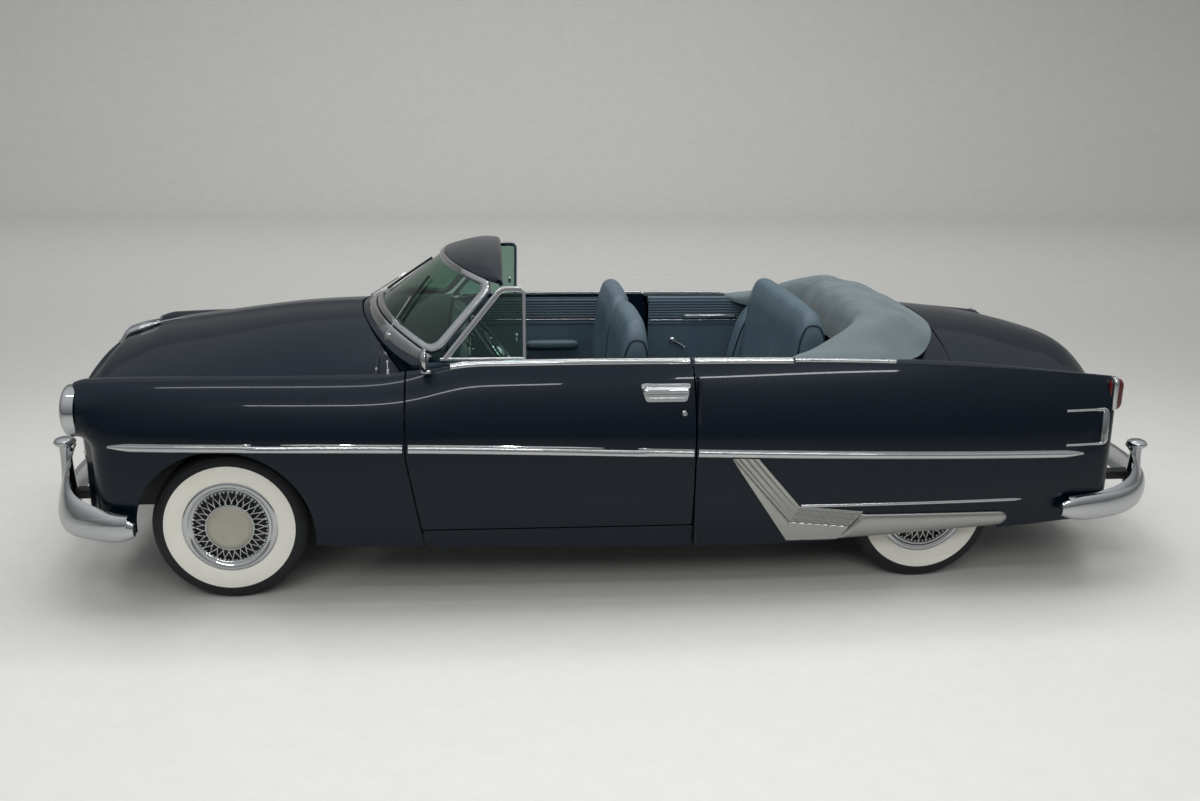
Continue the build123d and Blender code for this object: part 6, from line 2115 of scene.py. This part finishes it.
@dataclass
class Cabin:
    """Seats, folded top's cover, door cards, side trims, dashboard and steering."""

    hub: tuple[float, float, float] = (1.192 + AXLE_X, -0.350, 1.000)
    tilt: float = radians(38)
    pad_foot: float = 0.52
    pad_top: float = 0.92
    pleat_foot: float = 0.945
    trim_top: float = 1.064
    pleat_pitch: float = 0.0155
    bead_z: float = 0.938
    card_y: float = 0.782
    card_back_y: float = 0.7915
    trim_y: float = 0.750
    trim_back_y: float = 0.766

    def soft(self, name: str, shape: Shape, finishes: Sequence[Finish], slot: str, node: str,
             fill: float) -> None:
        """Makes a stuffed piece that rides on the body and stands for a CAD node."""
        put(name, shape, finishes, "body", slot, [node], smooth=60)

    def boot(self) -> Shape:
        """The folded top's cover: splines across and along its table, with slack folds as sums of sines."""
        rows = np.asarray(BOOT_MM, float) * MM
        mirror = np.vstack([rows[:0:-1] * np.concatenate([[-1], np.ones(12)]), rows])
        y = np.sin(np.linspace(-1, 1, 111) * 1.32) / sin(1.32) * 0.838
        across = through(mirror, y).reshape(len(y), 6, 2)
        table = np.hstack([np.array([0, 0.16, 0.32, 0.50, 0.76, 1.0])[:, None],
                           across.transpose(1, 0, 2).reshape(6, -1)])
        t = np.linspace(0, 1, 60)
        line = through(table, t).reshape(len(t), len(y), 2)
        tt, yy = np.meshgrid(t, y, indexing="ij")
        free = np.sin(pi * np.clip(tt, 0, 1)) * np.clip((0.80 - np.abs(yy)) / 0.2, 0, 1)
        folds = (0.0045 * np.sin(31 * yy + 9 * tt) + 0.0045 * np.sin(17 * yy - 14 * tt + 1)
                 + 0.003 * np.sin(53 * yy + 21 * tt)
                 + 0.007 * np.sin(24 * tt + 5 * yy) * np.exp(-((tt - 0.18) / 0.10) ** 2))
        seam = -0.005 * np.exp(-((np.abs(yy) - 0.40 - 0.1 * tt) / 0.008) ** 2)
        p = join(line[..., 0] + AXLE_X, yy, line[..., 1] + free * (folds + seam))
        p[..., 0] += 0.6 * free * folds * np.where(tt < 0.3, 1, 0)
        return grid(p).thick(0.010)

    def lining(self, x: Array, z: Array, base: float) -> Array:
        """A right card or side trim: pleats along its top, a bead's groove, a crowned middle and a flat
        foot.

        Args:
            x: Places along the car.
            z: Heights.
            base: The y that the relief stands in from.

        Returns:
            The points.
        """
        up = z - self.pleat_foot
        top = np.clip(up / 0.004, 0, 1) * np.clip((self.trim_top - 0.006 - z) / 0.006, 0, 1)
        pleat = 0.0045 * np.abs(np.sin(pi * up / self.pleat_pitch)) ** 0.7 * top
        groove = -0.003 * np.exp(-((z - self.bead_z - 0.002) / 0.004) ** 2)
        pad_rise = (z - self.pad_foot) / (self.pad_top - self.pad_foot)
        span = np.clip(pad_rise, 0, 1) * np.clip((self.pad_top + 0.005 - z) / 0.01, 0, 1)
        pad = 0.007 * np.clip(np.sin(pi * span), 0, 1) ** 0.5
        return join(x, base - 0.002 - pleat - groove - pad, z)

    def card(self) -> Shape:
        """The right door's card."""
        upper = ((self.pleat_foot, 10), (self.trim_top, 60))
        heights = steps((0.386, 0), (self.pad_foot, 10), (self.pad_top, 30), *upper)
        z, t = np.meshgrid(heights, [0.0, 0.5, 1.0], indexing="ij")
        left = 0.852 + 0.046 * np.clip((0.69 - z) / 0.33, 0, 1)
        x = left + (1.935 - left) * t + AXLE_X
        sheet = grid(self.lining(x, z, self.card_y))
        return sheet.backed(self.card_back_y)

    def card_parts(self) -> Shape:
        """The right card's armrest, its bright bead, window crank and door pull."""
        rest = pillow((1.500 + AXLE_X, 0.752, 0.800), (0.150, 0.026, 0.024), (0.045, 0.020, 0.021),
                      28).look(1)
        bright = self.crank((1.150, 0.776, 0.820)) + self.crank((1.790, 0.776, 0.900))
        return rest + (self.bead(0.870, 1.930, 0.779) + bright).look(2)

    def bead(self, start: float, end: float, y: float) -> Shape:
        """The bright bead along a card or a side trim."""
        path = np.linspace((start + AXLE_X, y, self.bead_z), (end + AXLE_X, y, self.bead_z), 3)
        return sweep(path, half_round(0.008, 0.005, 9, 0.002), [0, -1, 0])

    def crank(self, place: Place) -> Shape:
        """A window crank: a round boss, a flat arm and a knob.

        Args:
            place: The boss's foot, from the front axle.

        Returns:
            The crank.
        """
        at = np.asarray(place, float) + np.array([AXLE_X, 0, 0])
        boss = lathe([(-0.006, 0), (-0.006, 0.020), (0.006, 0.018), (0.012, 0.011), (0.014, 0)], at,
                     (0, -1, 0), 32)
        arm = sweep(np.linspace(at + [0, -0.012, 0], at + [0.066, -0.024, -0.034], 6),
                    smooth_ring(0.013, 0.006, 12), [0, -1, 0])
        knob = pillow(at + [0.066, -0.034, -0.034], (0.0095, 0.012, 0.0095), (0.009, 0.008, 0.009), 16)
        return boss + arm + knob

    def rear_trim(self) -> Shape:
        """The right rear side trim."""
        heights = steps((0.600, 0), (self.pad_top, 26), (self.pleat_foot, 10), (self.trim_top, 60))
        z, t = np.meshgrid(heights, [0.0, 0.5, 1.0], indexing="ij")
        sheet = grid(self.lining(2.050 + 0.728 * t + AXLE_X, z, self.trim_y))
        low = box((2.052 + AXLE_X, 0.747, 0.264), (2.50 + AXLE_X, 0.765, 0.604))
        grip = pillow((2.40 + AXLE_X, 0.733, 0.962), (0.150, 0.008, 0.010), 0.0078, 20)
        roll = bar((2.046 + AXLE_X, 0.772, 1.052), (2.80 + AXLE_X, 0.772, 1.048), 0.021, 20)
        bright = self.bead(2.060, 2.770, 0.746) + grip + self.crank((2.19, 0.744, 0.820))
        return sheet.backed(self.trim_back_y) + low + roll + bright.look(1)

    def dash(self) -> Shape:
        """The dashboard: a rounded painted section, its bright band, dials, radio grille, knobs and lid."""
        half = 0.757
        c = np.array([(0.952, 0.936), (1.006, 0.936), (1.044, 0.966), (1.050, 1.072), (1.020, 1.112),
                      (0.952, 1.122)])
        start = (c[0] + c[-1]) / 2
        loop = rounded(np.vstack([start, c, start]), 0.016, 7)[:-1] + np.array([AXLE_X, 0])
        y = np.linspace(-half, half, 41)
        drop = 0.060 * (np.abs(y) / half) ** 2.2
        points = join(np.broadcast_to(loop[:, 0], (41, len(loop))),
                      np.broadcast_to(y[:, None], (41, len(loop))),
                        loop[:, 1] - drop[:, None] * np.clip((loop[:, 1] - 0.95) / 0.16, 0, 1))
        made = capped(points)
        face = 1.047 + AXLE_X
        for place, r in ((-0.42, 0.047), (-0.30, 0.047), (0.48, 0.034)):
            bezel = lathe([(0.0, r), (0.006, r + 0.001), (0.010, r + 0.005), (0.006, r + 0.009),
                           (-0.004, r + 0.009), (-0.004, r)],
                          (face, place, 1.016), (1, 0, 0), 48)
            dial = lathe([(-0.002, 0), (0.003, 0), (0.003, r), (-0.002, r)], (face, place, 1.016),
                         (1, 0, 0), 40)
            hand = pillow((face + 0.0055, place + r * 0.25, 1.016 + r * 0.25), (0.0012, r * 0.30, 0.0022),
                          0.0011, 8)
            made = made + bezel.look(1) + dial.look(2) + hand.look(3)
        for place in np.linspace(-0.085, 0.085, 15):
            made = made + box((face - 0.004, place - 0.0025, 0.982),
                              (face + 0.005, place + 0.0025, 1.046)).look(1)
        for place in (-0.19, -0.155, 0.125, 0.165):
            made = made + lathe([(-0.006, 0), (-0.006, 0.006), (0.012, 0.006), (0.014, 0.012),
                                 (0.024, 0.011), (0.026, 0)],
                                (face, place, 0.990), (1, 0, 0), 24).look(1)
        band = sweep(join(0 * y + face + 0.001, y * 0.985, 0 * y + 0.968),
                     half_round(0.010, 0.005, 9, 0.003), [1, 0, 0])
        lid = pillow((face + 0.001, 0.30, 1.014), (0.004, 0.125, 0.036), (0.0035, 0.010, 0.010), 20)
        return made + band.look(1) + lid

    def steering(self) -> Shape:
        """The steering wheel: rim with finger grips, three spokes, horn ring and hub."""
        k = np.array([cos(self.tilt), 0, sin(self.tilt)])
        side, up = np.array([0.0, 1.0, 0.0]), np.cross(k, [0.0, 1.0, 0.0])
        turn = np.linspace(0, 2 * pi, 180, endpoint=False)
        middle = np.asarray(self.hub)

        def circle(r: float, lift: float) -> Array:
            """A circle of radius r round the hub, lifted along the column."""
            return middle + r * (np.cos(turn)[:, None] * side + np.sin(turn)[:, None] * up) + k * lift

        grip = 1 + 0.045 * np.cos(turn * 60) * (np.sin(turn) < 0.4)
        made = sweep(circle(0.222, 0.0), smooth_ring(0.022, 0.019, 14, 0.95), k, grip, closed=True)
        made = made + sweep(circle(0.122, 0.010), ring(0.0042, 10), k, closed=True).look(1)
        for way in (radians(190), radians(-10), radians(90)):
            out = cos(way) * side + sin(way) * up
            path = np.stack([middle + out * d + k * (0.012 - 0.012 * (d / 0.215) ** 2)
                             for d in np.linspace(0.02, 0.214, 10)])
            made = made + sweep(path, smooth_ring(0.020, 0.009, 14), k, np.linspace(1.25, 0.85, 10))
        hub = lathe([(-0.030, 0.012), (-0.030, 0.040), (-0.010, 0.046), (0.010, 0.046), (0.014, 0.044),
                     (0.014, 0.012)],
                    middle, k, 48)
        cap = lathe([(0.013, 0), (0.013, 0.043), (0.018, 0.040), (0.026, 0.026), (0.029, 0.010),
                     (0.0295, 0)], middle, k, 48)
        return made + hub + cap.look(1)

    def column(self) -> Shape:
        """The steering column with its collar and two levers."""
        k = np.array([cos(self.tilt), 0, sin(self.tilt)])
        hub = np.asarray(self.hub)
        tube = sweep(np.linspace(hub - k * 0.656, hub - k * 0.045, 6), ring(0.0235, 28), [0, 1, 0])
        collar = lathe([(-0.110, 0.023), (-0.106, 0.030), (-0.050, 0.033), (-0.042, 0.030), (-0.042, 0.012),
                        (-0.110, 0.012)], hub, k, 40)
        made = tube + collar
        for side, far in ((1, 0.150), (-1, 0.110)):
            root = hub - k * 0.075
            end = root + np.array([0.02, side * far, 0.030])
            knob = pillow(end, (0.010, 0.012, 0.010), 0.0095, 14)
            made = made + bar(root, end, 0.0048, 12).look(1) + knob
        return made

    def build(self) -> None:
        """Makes and reports the cabin's pieces."""
        hide = [HIDE, HIDE_DARK]
        pleats = Pleats((0.0, 1.0))
        self.soft("front_cushion", Cushion(FRONT_BASE_MM, -0.655, 0.655, pleats=pleats).shape(), hide,
                  "seat_leather", "front_seat", 0.8)
        for side, low, high in (("left", -0.655, -0.006), ("right", 0.006, 0.655)):
            back = Cushion(FRONT_BACK_MM, low, high, 0.045, 0.028, 0.012, Pleats((-1.0, 0.12), border=0.12),
                           0.13)
            self.soft("front_back_" + side, back.shape(), hide, "seat_leather", "front_seat", 0.8)
        self.soft("rear_cushion", Cushion(REAR_BASE_MM, -0.676, 0.676, pleats=pleats).shape(), hide,
                  "seat_leather", "rear_seat", 0.8)
        back = Cushion(REAR_BACK_MM, -0.556, 0.556, 0.050, 0.030, 0.012, Pleats((-1.0, 0.12), border=0.13),
                       0.10)
        self.soft("rear_back", back.shape(), hide, "seat_leather", "rear_seat", 0.8)
        bolster = Cushion(BOLSTER_MM, 0.562, 0.736, 0.060, 0.036, 0.012, shoulder=0.06).shape()
        self.soft("rear_bolsters", bolster.twin(), hide, "seat_leather", "rear_seat", 0.8)
        self.soft("top_cover", self.boot(), [BOOT], "boot_fabric", "top_boot", 0.5)
        card = self.card() + self.card_parts()
        put("card_right", card, [CARD, HIDE, CHROME], "door_right_body", "trim_leather",
            ["door_card_right"])
        put("card_left", card.mirrored(), [CARD, HIDE, CHROME], "door_left_body", "trim_leather",
            ["door_card_left"])
        put("rear_trims", self.rear_trim().twin(), [CARD, CHROME], "body", "trim_leather",
            ["rear_side_trims"])
        put("dash_panel", self.dash(), [TRIM_ENAMEL, CHROME, DIAL, RUBBER], "body", "body_paint",
            ["dashboard"])
        put("wheel_rim", self.steering(), [PLASTIC, CHROME], "steering_wheel_body", "wheel_plastic",
            ["steering_wheel"])
        put("column_tube", self.column(), [TRIM_ENAMEL, CHROME], "body", "column_paint",
            ["steering_column"])


@dataclass
class Studio:
    """Pale floor and backdrop, soft lamps, and the camera at the photograph's place."""

    place: tuple[float, float, float] = (1.1379 + AXLE_X, -5.7817, 2.2632)
    yaw: float = radians(5.61)
    pitch: float = radians(15.33)
    roll: float = radians(-0.8)
    lens: float = 35.232
    sky: float = 0.85
    gloss: float = 0.75

    def camera(self) -> None:
        """Sets the camera: its right, up and back directions from yaw, pitch and roll."""
        cy, sy, cp, sp = cos(self.yaw), sin(self.yaw), cos(self.pitch), sin(self.pitch)
        right, up = np.array([cy, -sy, 0.0]), np.array([sy * sp, cy * sp, cp])
        ahead = np.array([sy * cp, cy * cp, -sp])
        cr, sr = cos(self.roll), sin(self.roll)
        turn = join(right * cr - up * sr, right * sr + up * cr, -ahead)
        data = bpy.data.cameras.new("camera")
        data.lens, data.sensor_width, data.clip_end = self.lens, 36.0, 200.0
        made = bpy.data.objects.new("camera", data)
        made.location = self.place
        made.rotation_euler = Matrix(turn.tolist()).to_euler()
        bpy.context.scene.collection.objects.link(made)
        bpy.context.scene.camera = made

    def lamp(self, name: str, place: Place, aim: Place, size: tuple[float, float], power: float,
             mirrored: bool = True) -> None:
        """A soft rectangular lamp that points at a place.

        Args:
            name: Its name.
            place: Where it hangs.
            aim: What it points at.
            size: Its width and height.
            power: Its power in watts.
            mirrored: Whether glossy surfaces show it.
        """
        data = bpy.data.lights.new(name, "AREA")
        data.shape, data.size, data.size_y, data.energy = "RECTANGLE", size[0], size[1], power
        made = bpy.data.objects.new(name, data)
        z = np.asarray(place, float) - np.asarray(aim, float)
        z /= np.linalg.norm(z)
        x = np.cross([0.0, 1.0, 0.0] if abs(z[2]) > 0.9 else [0.0, 0.0, 1.0], z)
        x /= np.linalg.norm(x)
        made.location = place
        made.visible_glossy = mirrored
        made.rotation_euler = Matrix(join(x, np.cross(z, x), z).tolist()).to_euler()
        bpy.context.scene.collection.objects.link(made)

    def world(self) -> None:
        """A pale surround, brighter towards the top, and darker in what glossy surfaces mirror."""
        made = bpy.data.worlds.new("studio")
        made.use_nodes = True
        tree = made.node_tree
        tree.nodes.clear()
        place = add_node(tree, "ShaderNodeTexCoord").outputs["Generated"]
        height = add_node(tree, "ShaderNodeSeparateXYZ", Vector=place).outputs["Z"]
        up = add_node(tree, "ShaderNodeMapRange", {"From Min": -1.0}, Value=height).outputs[0]
        ramp = add_node(tree, "ShaderNodeValToRGB", Fac=up)
        stops = ramp.color_ramp.elements
        stops[0].position, stops[0].color = 0.46, linear("#6b6a68")
        stops[1].position, stops[1].color = 0.62, linear("#9a9c9f")
        peak = stops.new(0.95)
        peak.color = linear("#e6e8ea")
        shade = add_node(tree, "ShaderNodeBackground", {"Strength": self.sky}, Color=ramp.outputs[0])
        dim = add_node(tree, "ShaderNodeBackground", {"Strength": self.sky * self.gloss},
                       Color=ramp.outputs[0])
        rays = add_node(tree, "ShaderNodeLightPath").outputs["Is Glossy Ray"]
        both = add_node(tree, "ShaderNodeMixShader", in0=rays, in1=shade.outputs[0], in2=dim.outputs[0])
        add_node(tree, "ShaderNodeOutputWorld", Surface=both.outputs[0])
        bpy.context.scene.world = made

    def floor_finish(self) -> bpy.types.Material:
        """The floor's finish, darker in what the gloss mirrors, so that paint and plating keep their
        contrast."""
        made = FLOOR.build()
        tree = made.node_tree
        shader = next(n for n in tree.nodes if n.type == "BSDF_PRINCIPLED")
        colour = shader.inputs["Base Color"].links[0].from_socket
        rays = add_node(tree, "ShaderNodeLightPath").outputs["Is Glossy Ray"]
        dim = add_node(tree, "ShaderNodeMix", {"data_type": "RGBA", 7: linear("#a3a3a0")}, in0=rays,
                       in6=colour)
        tree.links.new(dim.outputs[2], shader.inputs["Base Color"])
        return made

    def build(self) -> None:
        """Makes the floor, lamps, surround and camera."""
        self.camera()
        self.world()
        run = np.concatenate([[-9.0], np.linspace(0, 1, 24) * 0.5 * pi])
        y = np.concatenate([[-14.0], 14 + 6 * np.sin(run[1:]), [20.0]])
        z = np.concatenate([[0.0], 6 - 6 * np.cos(run[1:]), [16.0]])
        x = np.array([-26.0, 26.0])
        sheet = grid(join(np.broadcast_to(x[:, None], (2, len(y))), np.broadcast_to(y, (2, len(y))),
                        np.broadcast_to(z, (2, len(y)))))
        mesh = bpy.data.meshes.new("floor")
        mesh.from_pydata(sheet.points.tolist(), [], sheet.faces.tolist())
        mesh.polygons.foreach_set("use_smooth", np.ones(len(sheet.faces), bool))
        mesh.materials.append(self.floor_finish())
        floor = bpy.data.objects.new("floor", mesh)
        bpy.context.scene.collection.objects.link(floor)
        self.lamp("overhead", (0.0, 0.4, 5.2), (0.0, 0.0, 0.6), (8.0, 3.0), 300, mirrored=False)
        self.lamp("near_side", (-1.0, -7.0, 4.8), (0.0, 0.0, 0.6), (7.0, 2.0), 170, mirrored=False)
        self.lamp("wall", (0.0, 6.0, 9.0), (0.0, 18.0, 5.0), (16.0, 3.0), 900, mirrored=False)
        strips = ((-0.6, -1.5, 5.2, 6.0), (0.8, 1.4, 5.2, 5.0), (-1.6, -4.4, 5.0, 3.2),
                  (2.2, -4.0, 5.0, 2.4))
        for i, (x, y, z, long) in enumerate(strips):
            self.lamp(f"strip_{i}", (x, y, z), (x, y, 0.0), (long, 0.16), 26)
        bpy.context.scene.view_settings.view_transform = "Standard"


def dress_frame() -> None:
    """Gives every CAD node that still shows the finish of its slot."""
    by_slot = {"body_paint": ENAMEL, "bright_metal": CHROME, "satin_steel": SATIN, "trim_leather": CARD,
               "seat_leather": HIDE, "boot_fabric": BOOT, "screen_glass": GLASS, "lamp_glass": LAMP,
               "tail_glass": RED_LENS, "cast_metal": IRON,
               "chassis_steel": CHASSIS, "pipe_steel": PIPE, "column_paint": TRIM_ENAMEL,
               "wheel_plastic": PLASTIC,
               "tyre_rubber": RUBBER}
    for part in frame["record"]["subparts"]:
        mesh = frame["nodes"][part["node"]].data
        mesh.materials.clear()
        mesh.materials.append(by_slot[part["material_slot"]].build())


def main() -> None:
    """Builds the studio and every part of the car in order."""
    logging.basicConfig(level=logging.INFO)
    dress_frame()
    Studio().build()
    skin = Skin()
    for part in parts(skin):
        part.build()
        log.info("built %s", type(part).__name__)


def parts(skin: Skin) -> list:
    """The sub-assemblies in the order that they are built."""
    return [Panels(skin), SideTrim(skin), Screen(skin),
            Bumper("front_bumper", FRONT_PLAN_MM, -1, 0.648, 0.165, -0.602),
            Bumper("rear_bumper", REAR_PLAN_MM, 1, 0.556, 0.085, 4.122),
            Lamps(), Nose(skin), SmallParts(), Wheels(), Cabin()]


if __name__ == "__main__":
    main()
